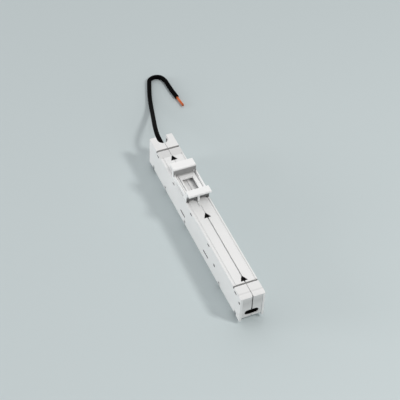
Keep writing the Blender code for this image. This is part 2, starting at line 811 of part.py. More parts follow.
# Contact, conductor and lead inside the housing
def folded_strip(name, line, low, high, thickness, turn, finish):
    """A strip of sheet metal that follows an open line, its width from low to high."""
    bm = bmesh.new()
    rows = []
    for level in (low, high):
        rows.append([bm.verts.new((u, v, level)) for u, v in line])
    for i in range(len(line) - 1):
        bm.faces.new((rows[0][i], rows[0][i + 1], rows[1][i + 1], rows[1][i]))
    bmesh.ops.transform(bm, matrix=turn, verts=bm.verts)
    mesh = bpy.data.meshes.new(name)
    bm.to_mesh(mesh)
    bm.free()
    made = place(name, mesh, finish)
    solid = made.modifiers.new("sheet thickness", "SOLIDIFY")
    solid.thickness = thickness
    solid.offset = 0.0
    solid.use_even_offset = True
    return made


FORK_MOUTH = FLOOR_TOP + 2 * FIT
FORK_MIDDLE = FORK_TOP - FORK_THICKNESS / 2
PINCH_LEVEL = FORK_MOUTH + FORK_PINCH_SHARE * (FORK_MIDDLE - FORK_MOUTH)
SHOULDER_LEVEL = FORK_MIDDLE - FORK_STRAIGHT


def fork_line():
    """The contact fork from the end: flared mouth, pinch, legs and a flat top."""
    leg = [(FORK_MOUTH_FLARE, FORK_MOUTH), (FORK_PINCH, PINCH_LEVEL), (FORK_SHOULDER, SHOULDER_LEVEL)]
    leg += [(FORK_SHOULDER, FORK_MIDDLE - FORK_BEND), (FORK_SHOULDER - FORK_BEND, FORK_MIDDLE)]
    return leg + [(-x, z) for x, z in reversed(leg)]


def clip_line():
    """The over-spring from above: a U round the fork's legs, closed towards the lower end.

    It clears the legs where they are widest apart beside it, at its upper edge.
    """
    slope = (FORK_SHOULDER - FORK_PINCH) / (SHOULDER_LEVEL - PINCH_LEVEL)
    leg = FORK_PINCH + slope * CLIP_HEIGHT / 2 + FORK_THICKNESS / 2 * math.hypot(1.0, slope)
    x = leg + FIT + CLIP_THICKNESS / 2
    back = FIRST_BAR - FORK_LENGTH / 2 - FIT - CLIP_THICKNESS / 2
    front = FIRST_BAR + FORK_LENGTH / 2
    side = [(x, front), (x, back + CLIP_BEND), (x - CLIP_BEND, back)]
    return side + [(-u, v) for u, v in reversed(side)]


low, high = span(-FIRST_BAR, FORK_LENGTH)
contact_fork = folded_strip("contact_fork", fork_line(), low, high, FORK_THICKNESS, ALONG_Y, tinned)
low, high = span(PINCH_LEVEL, CLIP_HEIGHT)
contact_spring = folded_strip(
    "contact_spring", clip_line(), low, high, CLIP_THICKNESS, ALONG_Z, spring_steel
)

sleeve_start = CARRIER_END + 2 * FIT
sleeve_end = sleeve_start + SLEEVE_LENGTH
conductor_outline = [
    (-BAR_WIDTH / 2, FIRST_BAR - FORK_LENGTH / 2),
    (BAR_WIDTH / 2, FIRST_BAR - FORK_LENGTH / 2),
    (BAR_WIDTH / 2, CARRIER_END - FIT),
    (TONGUE_WIDTH / 2, CARRIER_END - FIT),
    (TONGUE_WIDTH / 2, sleeve_end - SLEEVE_INSET),
    (-TONGUE_WIDTH / 2, sleeve_end - SLEEVE_INSET),
    (-TONGUE_WIDTH / 2, CARRIER_END - FIT),
    (-BAR_WIDTH / 2, CARRIER_END - FIT),
]
conductor_bar = prism("conductor_bar", conductor_outline, BAR_UNDER, BAR_TOP, ALONG_Z, copper)
rivet_passage = rod(
    "contact_rivet_passage",
    (0.0, FIRST_BAR, FORK_TOP - 2 * FORK_THICKNESS),
    (0.0, FIRST_BAR, BAR_TOP + WALL),
    CONTACT_RIVET / 2 + FIT,
    16,
)
cut(conductor_bar, rivet_passage)
cut(contact_fork, rivet_passage)


def turned(name, profile, turn, sides, finish):
    """A profile of (radius, height) pairs, top to bottom, turned once round its axis.

    A profile that ends where it starts makes a ring.
    """
    bm = bmesh.new()
    closed = profile[0] == profile[-1]
    corners = profile[:-1] if closed else profile
    line = [bm.verts.new((radius, 0.0, height)) for radius, height in corners]
    if closed:
        line.append(line[0])
    for first, second in zip(line, line[1:]):
        bm.edges.new((first, second))
    mesh = bpy.data.meshes.new(name)
    bm.to_mesh(mesh)
    bm.free()
    made = place(name, mesh, finish)
    screw = made.modifiers.new("turned", "SCREW")
    screw.steps = sides
    screw.render_steps = sides
    screw.use_merge_vertices = True
    screw.merge_threshold = MERGE
    made.matrix_world = turn
    return made


head = CONTACT_RIVET_HEAD_THICKNESS
rivet_profile = [
    (0.0, BAR_TOP + FIT + head),
    (CONTACT_RIVET_HEAD / 2, BAR_TOP + FIT + head),
    (CONTACT_RIVET_HEAD / 2, BAR_TOP + FIT),
    (CONTACT_RIVET / 2, BAR_TOP + FIT),
    (CONTACT_RIVET / 2, FORK_TOP - FORK_THICKNESS - FIT),
    (CONTACT_RIVET_HEAD / 2, FORK_TOP - FORK_THICKNESS - FIT),
    (CONTACT_RIVET_HEAD / 2, FORK_TOP - FORK_THICKNESS - FIT - head),
    (0.0, FORK_TOP - FORK_THICKNESS - FIT - head),
]
contact_rivet = turned(
    "contact_rivet", rivet_profile, Matrix.Translation((0.0, FIRST_BAR, 0.0)), 16, copper
)

# The sleeve is centred on the tongue and the strands together
stack_middle = (LEAD_HEIGHT + COPPER_DIAMETER / 2 + BAR_UNDER) / 2
stack_half = (LEAD_HEIGHT + COPPER_DIAMETER / 2 - BAR_UNDER) / 2
sleeve_bore = math.hypot(TONGUE_WIDTH / 2, stack_half) + FIT
sleeve_profile = [
    (sleeve_bore, SLEEVE_LENGTH),
    (sleeve_bore + SLEEVE_WALL, SLEEVE_LENGTH),
    (sleeve_bore + SLEEVE_WALL, 0.0),
    (sleeve_bore, 0.0),
    (sleeve_bore, SLEEVE_LENGTH),
]
to_wire_end = Matrix.Translation((0.0, sleeve_start, stack_middle)) @ Matrix.Rotation(
    math.radians(-90), 4, "X"
)
crimp_sleeve = turned("crimp_sleeve", sleeve_profile, to_wire_end, 20, tinned)

inner_strands = rod(
    "inner_strands",
    (0.0, sleeve_start + STRANDS_INSET, LEAD_HEIGHT),
    (0.0, CAVITY_END - FIT, LEAD_HEIGHT),
    COPPER_DIAMETER / 2,
    12,
    copper,
)
inner_lead = rod(
    "inner_lead",
    (0.0, CAVITY_END, LEAD_HEIGHT),
    (0.0, LEAD_START - FIT, LEAD_HEIGHT),
    LEAD_DIAMETER / 2,
    16,
    pvc_black,
)

# Fixed hook at the wire end: a head inside, a stem through the floor and a toe outwards
stem_low, stem_high = span(HOOK_STEM_MIDDLE, STEM_LENGTH)
hook_outline = [
    (HOOK_HEAD_FRONT, FLOOR_TOP + FIT),
    (stem_low, FLOOR_TOP + FIT),
    (stem_low, TOE_CLEARANCE),
    (stem_high + HOOK_TOE_REACH - TOE_THICKNESS / 2, TOE_CLEARANCE),
    (stem_high + HOOK_TOE_REACH, TOE_CLEARANCE + TOE_THICKNESS / 2),
    (stem_high + HOOK_TOE_REACH, TOE_CLEARANCE + TOE_THICKNESS),
    (stem_high, TOE_CLEARANCE + TOE_THICKNESS),
    (stem_high, FLOOR_TOP + FIT),
    (HOOK_HEAD_FRONT + HOOK_HEAD_LENGTH, FLOOR_TOP + FIT),
    (HOOK_HEAD_FRONT + HOOK_HEAD_LENGTH, FLOOR_TOP + FIT + HOOK_HEAD_HEIGHT),
    (HOOK_HEAD_FRONT, FLOOR_TOP + FIT + HOOK_HEAD_HEIGHT),
]
fixed_hook = prism(
    "fixed_hook", hook_outline, -STEM_WIDTH / 2, STEM_WIDTH / 2, ALONG_X, black_plastic
)

# Latch slider: a block behind the release slot, with a stem and toe under the floor
latch_slider = box(
    "latch_slider",
    (-INNER_SIDE + FIT, INNER_SIDE - FIT),
    (SLIDER_FRONT, SLIDER_BACK),
    (SLIDER_BOTTOM, SLIDER_TOP),
    black_plastic,
)
toe_outline = [
    (STEM_FRONT, FLOOR_TOP + 2 * FIT),
    (STEM_FRONT, TOE_CLEARANCE + TOE_THICKNESS),
    (STEM_FRONT - TOE_REACH, TOE_CLEARANCE + TOE_THICKNESS),
    (STEM_FRONT - TOE_REACH, TOE_CLEARANCE + TOE_THICKNESS / 2),
    (STEM_FRONT - TOE_REACH + TOE_THICKNESS / 2, TOE_CLEARANCE),
    (STEM_BACK, TOE_CLEARANCE),
    (STEM_BACK, FLOOR_TOP + 2 * FIT),
]
latch_toe = prism("latch_toe", toe_outline, -STEM_WIDTH / 2, STEM_WIDTH / 2, ALONG_X)
spigot = rod(
    "spring_spigot",
    (0.0, SLIDER_BACK - WALL, (SLIDER_BOTTOM + SLIDER_TOP) / 2),
    (0.0, SLIDER_BACK + SPIGOT_LENGTH, (SLIDER_BOTTOM + SLIDER_TOP) / 2),
    SPIGOT_DIAMETER / 2,
    12,
)
nose_front = -END + PANEL_RECESS + NOSE_INSET
nose = prism(
    "slider_nose",
    slot_outline(SLOT_WIDTH - 2 * FIT, SLOT_HEIGHT - 2 * FIT, SLOT_LEVEL),
    nose_front,
    SLIDER_FRONT + WALL,
    ALONG_Y,
)
tool_pocket = prism(
    "tool_pocket",
    slot_outline(SLOT_WIDTH - 2 * TOOL_POCKET_MARGIN, SLOT_HEIGHT - 2 * TOOL_POCKET_MARGIN, SLOT_LEVEL),
    nose_front - WALL,
    nose_front + TOOL_POCKET_DEPTH,
    ALONG_Y,
)
join(latch_slider, latch_toe, spigot, nose)
cut(latch_slider, tool_pocket)


def coil(name, middle, start, end, turns, outer, wire, finish):
    """A compression spring along Y, with the last half turn at each end laid close."""
    points_per_turn = 12
    count = turns * points_per_turn
    radius = (outer - wire) / 2
    curve = bpy.data.curves.new(name, "CURVE")
    curve.dimensions = "3D"
    curve.bevel_depth = wire / 2
    curve.bevel_resolution = 1
    curve.use_fill_caps = True
    line = curve.splines.new("POLY")
    line.points.add(count)
    first = start + wire / 2
    length = end - start - wire
    for i, point in enumerate(line.points):
        share = i / count
        angle = 2 * math.pi * turns * share
        eased = share - math.sin(2 * math.pi * share) / (2 * math.pi) * 0.5
        point.co = (
            middle[0] + radius * math.cos(angle),
            first + length * eased,
            middle[1] + radius * math.sin(angle),
            1.0,
        )
    return place(name, welded(bpy.data.objects.new(name, curve)), finish)


latch_spring = coil(
    "latch_spring",
    (0.0, (SLIDER_BOTTOM + SLIDER_TOP) / 2),
    SPRING_FRONT,
    SPRING_BACK,
    SPRING_TURNS,
    SPRING_OUTER,
    SPRING_WIRE,
    spring_steel,
)

end_rivet = rod(
    "end_rivet",
    (-SIDE + RIVET_RECESS, RIVET_Y, RIVET_Z),
    (SIDE - RIVET_RECESS, RIVET_Y, RIVET_Z),
    RIVET_DIAMETER / 2,
    20,
    steel,
)

# Rail support: a moulded top-hat rail whose tongues run in the housing's guide grooves
RAIL_UNDER = TOP + FIT
RAIL_PLATE = TOP + RAIL_PLATE_ABOVE
RAIL_TOP = TOP + RAIL_TOP_ABOVE
LIP_UNDER = RAIL_TOP - LIP_THICKNESS
RAIL_LOW, RAIL_HIGH = span(END - RAIL_FROM_WIRE_END, RAIL_SPAN)
LOWER_WEB_OUT = RAIL_LOW + LIP_OVERHANG
UPPER_WEB_OUT = RAIL_HIGH - LIP_OVERHANG
UPPER_WEB_IN = RAIL_HIGH - UPPER_FLANGE
LOWER_WEB_IN = RAIL_LOW + LOWER_FLANGE

rail_outline = [
    (LOWER_WEB_OUT, RAIL_UNDER),
    (UPPER_WEB_OUT, RAIL_UNDER),
    (UPPER_WEB_OUT, LIP_UNDER),
    (RAIL_HIGH, LIP_UNDER),
    (RAIL_HIGH, RAIL_TOP),
    (UPPER_WEB_IN, RAIL_TOP),
    (UPPER_WEB_IN, RAIL_PLATE + CURB_HEIGHT),
    (LOWER_WEB_IN, RAIL_PLATE + CURB_HEIGHT),
    (LOWER_WEB_IN, RAIL_TOP),
    (RAIL_LOW, RAIL_TOP),
    (RAIL_LOW, LIP_UNDER),
    (LOWER_WEB_OUT, LIP_UNDER),
]
rail_support = prism("rail_support", rail_outline, -RAIL_SIDE, RAIL_SIDE, ALONG_X, rail_grey)


def rail_top_edge(first, second):
    return min(first.z, second.z) > LIP_UNDER + SLIVER


bevel_edges(rail_support, LIP_ROUND, 3, rail_top_edge)
rail_window = box(
    "rail_window",
    span(0.0, 2 * (RAIL_SIDE - WINDOW_FROM_SIDE)),
    (UPPER_WEB_IN - WINDOW_FROM_UPPER_WEB - WINDOW_LENGTH, UPPER_WEB_IN - WINDOW_FROM_UPPER_WEB),
    (RAIL_UNDER - WALL, RAIL_PLATE + WALL),
)
channel = box(
    "rail_channel",
    (-RAIL_SIDE + CURB_WIDTH, RAIL_SIDE - CURB_WIDTH),
    (LOWER_WEB_IN, UPPER_WEB_IN),
    (RAIL_PLATE, RAIL_PLATE + CURB_HEIGHT + WALL),
)
base_hollow = box(
    "base_hollow",
    (-RAIL_SIDE + BASE_WALL, RAIL_SIDE - BASE_WALL),
    (LOWER_WEB_OUT - WALL, UPPER_WEB_IN - FIT),
    (RAIL_UNDER - WALL, RAIL_PLATE - PLATE_THICKNESS),
)
side_slots = box(
    "side_slots",
    (-RAIL_SIDE - WALL, RAIL_SIDE + WALL),
    (LOWER_WEB_IN + SIDE_SLOT_MARGIN, UPPER_WEB_IN - SIDE_SLOT_MARGIN),
    span(RAIL_UNDER + SIDE_SLOT_ABOVE, SIDE_SLOT_HEIGHT),
)
plate_slot = box(
    "plate_slot",
    span(-RAIL_SIDE + PLATE_SLOT_FROM_SIDE, PLATE_SLOT_WIDTH),
    (LOWER_WEB_IN + PLATE_SLOT_MARGIN, UPPER_WEB_IN - PLATE_SLOT_MARGIN),
    (RAIL_UNDER - WALL, RAIL_PLATE + WALL),
)
cut(rail_support, channel, rail_window, base_hollow, side_slots, plate_slot)
for side, word in ((-1, "left"), (1, "right")):
    curb_foot = RAIL_SIDE - CURB_WIDTH - CURB_GROOVE_WIDTH
    curb_groove = box(
        f"{word}_curb_groove",
        span(side * curb_foot, CURB_GROOVE_WIDTH),
        (LOWER_WEB_IN, UPPER_WEB_IN),
        (RAIL_PLATE - CURB_GROOVE_DEPTH, RAIL_PLATE + WALL),
    )
    corner_hole = box(
        f"{word}_corner_hole",
        sided(side, RAIL_SIDE - CORNER_HOLE_WIDTH, RAIL_SIDE - CURB_WIDTH / 2),
        (UPPER_WEB_IN - FIT, UPPER_WEB_OUT + WALL),
        (RAIL_PLATE - CORNER_HOLE_BELOW_PLATE, RAIL_PLATE + CORNER_HOLE_HEIGHT),
    )
    tongue = prism(
        f"{word}_guide_tongue",
        track_outline(side, TRACK_FIT, RAIL_UNDER - TOP + FIT, TRACK_DEPTH - TRACK_FIT),
        LOWER_WEB_OUT + FIT,
        UPPER_WEB_OUT - FIT,
        ALONG_Y,
    )
    cut(rail_support, curb_groove, corner_hole)
    join(rail_support, tongue)
for low, high, word in (
    (LOWER_WEB_OUT - GUSSET_REACH, LOWER_WEB_OUT + FIT, "lower"),
    (UPPER_WEB_OUT - FIT, UPPER_WEB_OUT + GUSSET_REACH, "upper"),
):
    gusset = box(
        f"{word}_gusset",
        span(0.0, GUSSET),
        (low, high),
        (RAIL_UNDER, LIP_UNDER + LIP_THICKNESS / 2),
    )
    join(rail_support, gusset)

# Brake spring: a bowed strip in a pocket under the support's upper web, which rubs on the housing
brake_low = RAIL_UNDER + BRAKE_THICKNESS / 2
brake_start = UPPER_WEB_IN + BRAKE_FROM_WEB
brake_end = brake_start + BRAKE_WIDTH
brake_line = [
    (-BRAKE_LENGTH / 2, brake_low + BRAKE_BOW),
    (-BRAKE_LENGTH / 4, brake_low + BRAKE_BOW / 4),
    (0.0, brake_low),
    (BRAKE_LENGTH / 4, brake_low + BRAKE_BOW / 4),
    (BRAKE_LENGTH / 2, brake_low + BRAKE_BOW),
]
rail_brake_spring = folded_strip(
    "rail_brake_spring", brake_line, -brake_end, -brake_start, BRAKE_THICKNESS, ALONG_Y, spring_steel
)
brake_pocket = box(
    "brake_pocket",
    span(0.0, BRAKE_LENGTH + 2 * FIT),
    (brake_start - FIT, brake_end + FIT),
    (RAIL_UNDER - WALL, RAIL_UNDER + BRAKE_THICKNESS + BRAKE_BOW + FIT),
)
cut(rail_support, brake_pocket)


# Lead outside the housing
def smooth_path(points, spacing):
    """Points at even steps of about the spacing along a Catmull-Rom curve through the given points."""
    nodes = [Vector(p) for p in points]
    nodes = [2 * nodes[0] - nodes[1]] + nodes + [2 * nodes[-1] - nodes[-2]]
    fine = []
    for a, b, c, d in zip(nodes, nodes[1:], nodes[2:], nodes[3:]):
        for step in range(20):
            t = step / 20
            fine.append(
                0.5
                * (
                    2 * b
                    + (c - a) * t
                    + (2 * a - 5 * b + 4 * c - d) * t * t
                    + (3 * b - a - 3 * c + d) * t * t * t
                )
            )
    fine.append(nodes[-2])
    run = [0.0]
    for first, second in zip(fine, fine[1:]):
        run.append(run[-1] + (second - first).length)
    steps = round(run[-1] / spacing)
    path = []
    index = 0
    for i in range(steps + 1):
        wanted = run[-1] * i / steps
        while index < len(run) - 2 and run[index + 1] < wanted:
            index += 1
        share = (wanted - run[index]) / (run[index + 1] - run[index])
        path.append(fine[index].lerp(fine[index + 1], share))
    return path


def tube(name, points, diameter, finish):
    """A round lead along the given points, with filled ends."""
    curve = bpy.data.curves.new(name, "CURVE")
    curve.dimensions = "3D"
    curve.bevel_depth = diameter / 2
    curve.bevel_resolution = 2
    curve.use_fill_caps = True
    line = curve.splines.new("POLY")
    line.points.add(len(points) - 1)
    for point, place_at in zip(line.points, points):
        point.co = (*place_at, 1.0)
    made = bpy.data.objects.new(name, curve)
    part.objects.link(made)
    curve.materials.append(finish)
    return made


lead_points = smooth_path(LEAD_ROUTE, LEAD_POINT_SPACING)
lead = tube("lead", lead_points, LEAD_DIAMETER, pvc_black)
lead_direction = (lead_points[-1] - lead_points[-2]).normalized()
bare_start = lead_points[-1] + lead_direction * FIT
lead_copper = tube(
    "lead_copper", [bare_start, bare_start + lead_direction * BARE_LENGTH], COPPER_DIAMETER, copper
)
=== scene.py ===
"""Power track adapter: the dressed model.

Two moulded half shells, a sliding DIN rail support, and a black lead with a stripped end.
Lengths are in metres in the part's own frame: +Y towards the lead, +Z up, standing on z = 0.
"""

import math

import bmesh
import bpy
import numpy as np
from mathutils import Matrix, Vector


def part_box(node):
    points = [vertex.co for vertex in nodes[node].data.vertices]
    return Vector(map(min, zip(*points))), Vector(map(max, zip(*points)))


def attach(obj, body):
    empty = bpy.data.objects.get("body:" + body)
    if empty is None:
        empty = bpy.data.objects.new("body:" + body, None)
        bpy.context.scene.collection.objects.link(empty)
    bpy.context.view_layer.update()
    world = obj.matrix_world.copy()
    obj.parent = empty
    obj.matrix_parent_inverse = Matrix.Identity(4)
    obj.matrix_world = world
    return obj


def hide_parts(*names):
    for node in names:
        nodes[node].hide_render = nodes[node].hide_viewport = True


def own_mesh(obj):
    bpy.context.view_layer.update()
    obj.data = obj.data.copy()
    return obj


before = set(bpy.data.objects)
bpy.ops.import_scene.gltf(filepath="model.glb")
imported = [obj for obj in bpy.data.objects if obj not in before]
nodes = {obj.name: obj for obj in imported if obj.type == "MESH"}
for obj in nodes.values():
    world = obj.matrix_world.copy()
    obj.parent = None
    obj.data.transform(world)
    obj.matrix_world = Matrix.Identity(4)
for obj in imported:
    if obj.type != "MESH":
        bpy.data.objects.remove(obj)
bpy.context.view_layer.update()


# Camera
# A long lens looks down on the lower end from the left, with the housing running away towards the
# top left of the picture and the lead behind it.
mm = 0.001
CAMERA_AT = Vector((-238.1, -506.1, 626.9)) * mm
CAMERA_LOOKS_AT = Vector((10.25, 29.77, 3.4)) * mm
CAMERA_ROLL = 2.42
LENS = 108.0
SENSOR = 36.0

lens = bpy.data.cameras.new("camera")
lens.lens = LENS
lens.sensor_width = SENSOR
lens.clip_start = 0.05
lens.clip_end = 20.0
camera = bpy.data.objects.new("camera", lens)
bpy.context.scene.collection.objects.link(camera)
turned = (CAMERA_LOOKS_AT - CAMERA_AT).to_track_quat("-Z", "Y").to_matrix().to_4x4()
rolled = turned @ Matrix.Rotation(math.radians(CAMERA_ROLL), 4, "Z")
camera.matrix_world = Matrix.Translation(CAMERA_AT) @ rolled
bpy.context.scene.camera = camera


# Lead
# A single-core lead with a soft PVC sheath, extruded round fine copper strands. The two shells pinch
# its start, and outside it drops to the table and lies there in one loose bend.
LEAD_DIAMETER = 3.4 * mm
STRAND_BUNDLE = 1.9 * mm
STRIPPED = 10.5 * mm
LYING = LEAD_DIAMETER / 2
LEAD_ROUTE = np.array((
    (0.0 * mm, 76.0 * mm, 19.7 * mm),
    (0.1 * mm, 82.0 * mm, 19.6 * mm),
    (0.9 * mm, 89.5 * mm, 18.7 * mm),
    (3.1 * mm, 98.6 * mm, 16.2 * mm),
    (7.0 * mm, 111.5 * mm, 11.3 * mm),
    (11.1 * mm, 124.8 * mm, 6.3 * mm),
    (14.5 * mm, 136.2 * mm, 3.1 * mm),
    (17.2 * mm, 145.4 * mm, 1.9 * mm),
    (19.9 * mm, 153.4 * mm, LYING),
    (22.9 * mm, 161.2 * mm, LYING),
    (25.0 * mm, 165.9 * mm, LYING),
    (29.7 * mm, 167.9 * mm, LYING),
    (34.3 * mm, 165.9 * mm, LYING),
    (36.2 * mm, 161.2 * mm, LYING),
    (36.5 * mm, 154.6 * mm, LYING),
    (36.8 * mm, 147.4 * mm, LYING),
    (37.5 * mm, 139.5 * mm, LYING),
))


def smooth_path(route, steps):
    """Points along a Catmull-Rom curve: each stretch is a cubic whose slope at a route point is half
    the step between that point's neighbours."""
    ends = np.vstack((2 * route[0] - route[1], route, 2 * route[-1] - route[-2]))
    a, b, c, d = (ends[k : len(ends) - 3 + k, None, :] for k in range(4))
    t = np.linspace(0.0, 1.0, steps, endpoint=False)[None, :, None]
    curve = 2 * b + (c - a) * t + (2 * a - 5 * b + 4 * c - d) * t**2 + (3 * b - a - 3 * c + d) * t**3
    return np.vstack((curve.reshape(-1, 3) / 2, route[-1]))


def rings_along(path, stations, radii, sides, upright):
    """Circles round a path: at each station, a distance along it, one circle of that radius square to
    the path. The circle's zero angle points to the side, given by the path's direction and upright."""
    run = np.append(0.0, np.cumsum(np.linalg.norm(np.diff(path, axis=0), axis=1)))

    def at(distance):
        return np.stack([np.interp(distance, run, path[:, k]) for k in range(3)], axis=1)

    reach = 0.2 * mm
    stations = np.asarray(stations)
    ahead = at(np.minimum(stations + reach, run[-1])) - at(np.maximum(stations - reach, 0.0))
    ahead /= np.linalg.norm(ahead, axis=1, keepdims=True)
    side = np.cross(ahead, upright)
    side /= np.linalg.norm(side, axis=1, keepdims=True)
    over = np.cross(side, ahead)
    angle = np.linspace(0.0, 2 * np.pi, sides, endpoint=False)
    spokes = side[:, None] * np.cos(angle)[:, None] + over[:, None] * np.sin(angle)[:, None]
    return at(stations)[:, None] + spokes * np.broadcast_to(radii, stations.shape)[:, None, None]


def surface(name, rings):
    """A closed mesh through rings of points, each ring joined to the next, the two ends capped. Its UV
    map holds turns round the piece and metres along it."""
    rows, sides = rings.shape[:2]
    i, j = np.meshgrid(np.arange(rows - 1), np.arange(sides), indexing="ij")
    after = (j + 1) % sides
    corners = (i * sides + j, i * sides + after, (i + 1) * sides + after, (i + 1) * sides + j)
    quads = np.stack(corners, axis=-1).reshape(-1, 4)
    caps = [list(range(sides))[::-1], list(range((rows - 1) * sides, rows * sides))]
    mesh = bpy.data.meshes.new(name)
    mesh.from_pydata(rings.reshape(-1, 3).tolist(), [], quads.tolist() + caps)
    middles = rings.mean(axis=1)
    run = np.append(0.0, np.cumsum(np.linalg.norm(np.diff(middles, axis=0), axis=1)))
    turns = np.stack((j, j + 1, j + 1, j), axis=-1) / sides
    metres = run[np.stack((i, i, i + 1, i + 1), axis=-1)]
    places = np.stack((turns, metres), axis=-1).reshape(-1, 2)
    places = np.vstack((places, np.zeros((2 * sides, 2))))
    mesh.uv_layers.new(name="UVMap").data.foreach_set("uv", places.astype(np.float32).ravel())
    bm = bmesh.new()
    bm.from_mesh(mesh)
    bmesh.ops.recalc_face_normals(bm, faces=bm.faces)
    bm.to_mesh(mesh)
    bm.free()
    mesh.shade_smooth()
    crease = math.radians(35)
    mesh.set_sharp_from_angle(angle=crease)
    made = bpy.data.objects.new(name, mesh)
    bpy.context.scene.collection.objects.link(made)
    return made


def colour(hex_code):
    """The linear red, green, blue and alpha of an sRGB hex value."""
    shares = np.array([int(hex_code[k : k + 2], 16) for k in (1, 3, 5)]) / 255
    linear = np.where(shares <= 0.04045, shares / 12.92, ((shares + 0.055) / 1.055) ** 2.4)
    return (*linear.tolist(), 1.0)


def add(tree, kind, inputs=None, **settings):
    """Adds a node with its settings, and sets each named input to a value or links it to an output."""
    made = tree.nodes.new(kind)
    for key, value in settings.items():
        setattr(made, key, value)
    for key, value in (inputs or {}).items():
        if isinstance(value, bpy.types.NodeSocket):
            tree.links.new(value, made.inputs[key])
        else:
            made.inputs[key].default_value = value
    return made


def new_finish(name):
    """A material with its node tree and its Principled shader."""
    made = bpy.data.materials.new(name)
    made.use_nodes = True
    return made, made.node_tree, made.node_tree.nodes["Principled BSDF"]


def extruded_pvc():
    """Black plasticised PVC, extruded: a matt skin with faint lines drawn along the lead."""
    made, tree, shader = new_finish("extruded_pvc")
    line_spacing = 0.5 * mm
    line_length = 25.0 * mm
    line_depth = 0.05 * mm
    lines_round = math.pi * LEAD_DIAMETER / line_spacing
    place = add(tree, "ShaderNodeUVMap", uv_map="UVMap")
    stretched = add(
        tree,
        "ShaderNodeMapping",
        {"Vector": place.outputs[0], "Scale": (lines_round, 1 / line_length, 1.0)},
    )
    lines = add(
        tree,
        "ShaderNodeTexNoise",
        {"Vector": stretched.outputs[0], "Scale": 1.0, "Detail": 3.0, "Roughness": 0.55},
    )
    shade = add(tree, "ShaderNodeValToRGB", {"Fac": lines.outputs["Fac"]})
    shade.color_ramp.elements[0].position = 0.3
    shade.color_ramp.elements[0].color = colour("#030303")
    shade.color_ramp.elements[1].position = 0.75
    shade.color_ramp.elements[1].color = colour("#070707")
    gloss = add(
        tree,
        "ShaderNodeMapRange",
        {"Value": lines.outputs["Fac"], "To Min": 0.56, "To Max": 0.68},
    )
    bump = add(
        tree,
        "ShaderNodeBump",
        {"Height": lines.outputs["Fac"], "Strength": 0.35, "Distance": line_depth},
    )
    tree.links.new(shade.outputs[0], shader.inputs["Base Color"])
    tree.links.new(gloss.outputs[0], shader.inputs["Roughness"])
    tree.links.new(bump.outputs[0], shader.inputs["Normal"])
    shader.inputs["IOR"].default_value = 1.53
    shader.inputs["Specular IOR Level"].default_value = 0.03
    return made


def bare_copper(name, roughness):
    """Bright copper, rolled or drawn: a warm metal with faint brown tarnish in patches."""
    made, tree, shader = new_finish(name)
    patch = 1.6 * mm
    place = add(tree, "ShaderNodeTexCoord")
    cloud = add(
        tree,
        "ShaderNodeTexNoise",
        {"Vector": place.outputs["Object"], "Scale": 1 / patch, "Detail": 4.0, "Roughness": 0.6},
    )
    shade = add(tree, "ShaderNodeValToRGB", {"Fac": cloud.outputs["Fac"]})
    shade.color_ramp.elements[0].position = 0.32
    shade.color_ramp.elements[0].color = colour("#C96A3F")
    shade.color_ramp.elements[1].position = 0.7
    shade.color_ramp.elements[1].color = colour("#E8895A")
    gloss = add(
        tree,
        "ShaderNodeMapRange",
        {"Value": cloud.outputs["Fac"], "To Min": roughness - 0.06, "To Max": roughness + 0.1},
    )
    tree.links.new(shade.outputs[0], shader.inputs["Base Color"])
    tree.links.new(gloss.outputs[0], shader.inputs["Roughness"])
    shader.inputs["Metallic"].default_value = 1.0
    return made


pvc = extruded_pvc()
drawn_copper = bare_copper("drawn_copper", 0.34)

# The sheath is cut square at its end: the rim is barely rounded, and the mouth runs back round the strands
UP = (0.0, 0.0, 1.0)
STEPS_BETWEEN_POINTS = 12
LEAD_SIDES = 24
LEAD_RING_STEP = 0.8 * mm
CUT_ROUND = 0.15 * mm
CUT_EASE = 0.3 * CUT_ROUND
STRAND_GAP = 0.05 * mm
SHEATH_MOUTH = STRAND_BUNDLE / 2 + STRAND_GAP
SHEATH_DEPTH = 1.2 * mm

lead_path = smooth_path(LEAD_ROUTE, STEPS_BETWEEN_POINTS)
lead_path[:, 2] = np.maximum(lead_path[:, 2], LYING)
lead_length = float(np.linalg.norm(np.diff(lead_path, axis=0), axis=1).sum())
stations = np.linspace(0.0, lead_length - CUT_ROUND, int(lead_length / LEAD_RING_STEP))
cut_stations = lead_length - np.array((CUT_EASE, 0.0, 0.0, CUT_EASE, SHEATH_DEPTH))
cut_radii = (
    LEAD_DIAMETER / 2 - CUT_EASE,
    LEAD_DIAMETER / 2 - CUT_ROUND,
    SHEATH_MOUTH + CUT_EASE,
    SHEATH_MOUTH,
    SHEATH_MOUTH,
)
sheath_rings = rings_along(
    lead_path,
    np.append(stations, cut_stations),
    np.append(np.full(len(stations), LEAD_DIAMETER / 2), cut_radii),
    LEAD_SIDES,
    UP,
)
lead_sheath = surface("lead_sheath", sheath_rings)
lead_sheath.data.materials.append(pvc)
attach(lead_sheath, "housing")
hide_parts("lead")

# Nineteen strands: one in the middle, six round it and twelve round those, laid up with a slow twist
STRAND_LAYERS = ((1, 0.0), (6, 0.38 * mm), (12, 0.735 * mm))
STRAND_RADIUS = 0.19 * mm
STRAND_LAY = 26.0 * mm
STRAND_SIDES = 8
STRAND_POINTS = 22
STRAND_RINGS = 20
STRAND_OVER = 0.25 * mm
STRAND_UNEVEN = 0.35 * mm
TIP_ROUND = 0.05 * mm
TIP_RUN = 0.4 * mm
STRAND_SEED = 7
strand_count = sum(count for count, radius in STRAND_LAYERS)
lead_ahead = lead_path[-1] - lead_path[-2]
lead_ahead /= np.linalg.norm(lead_ahead)
strand_side = np.cross(lead_ahead, UP)
strand_over = np.cross(strand_side, lead_ahead)
strand_runs = np.linspace(-SHEATH_DEPTH, STRIPPED + STRAND_OVER, STRAND_POINTS)
cut_short = np.random.default_rng(STRAND_SEED).uniform(0.0, STRAND_UNEVEN, strand_count)


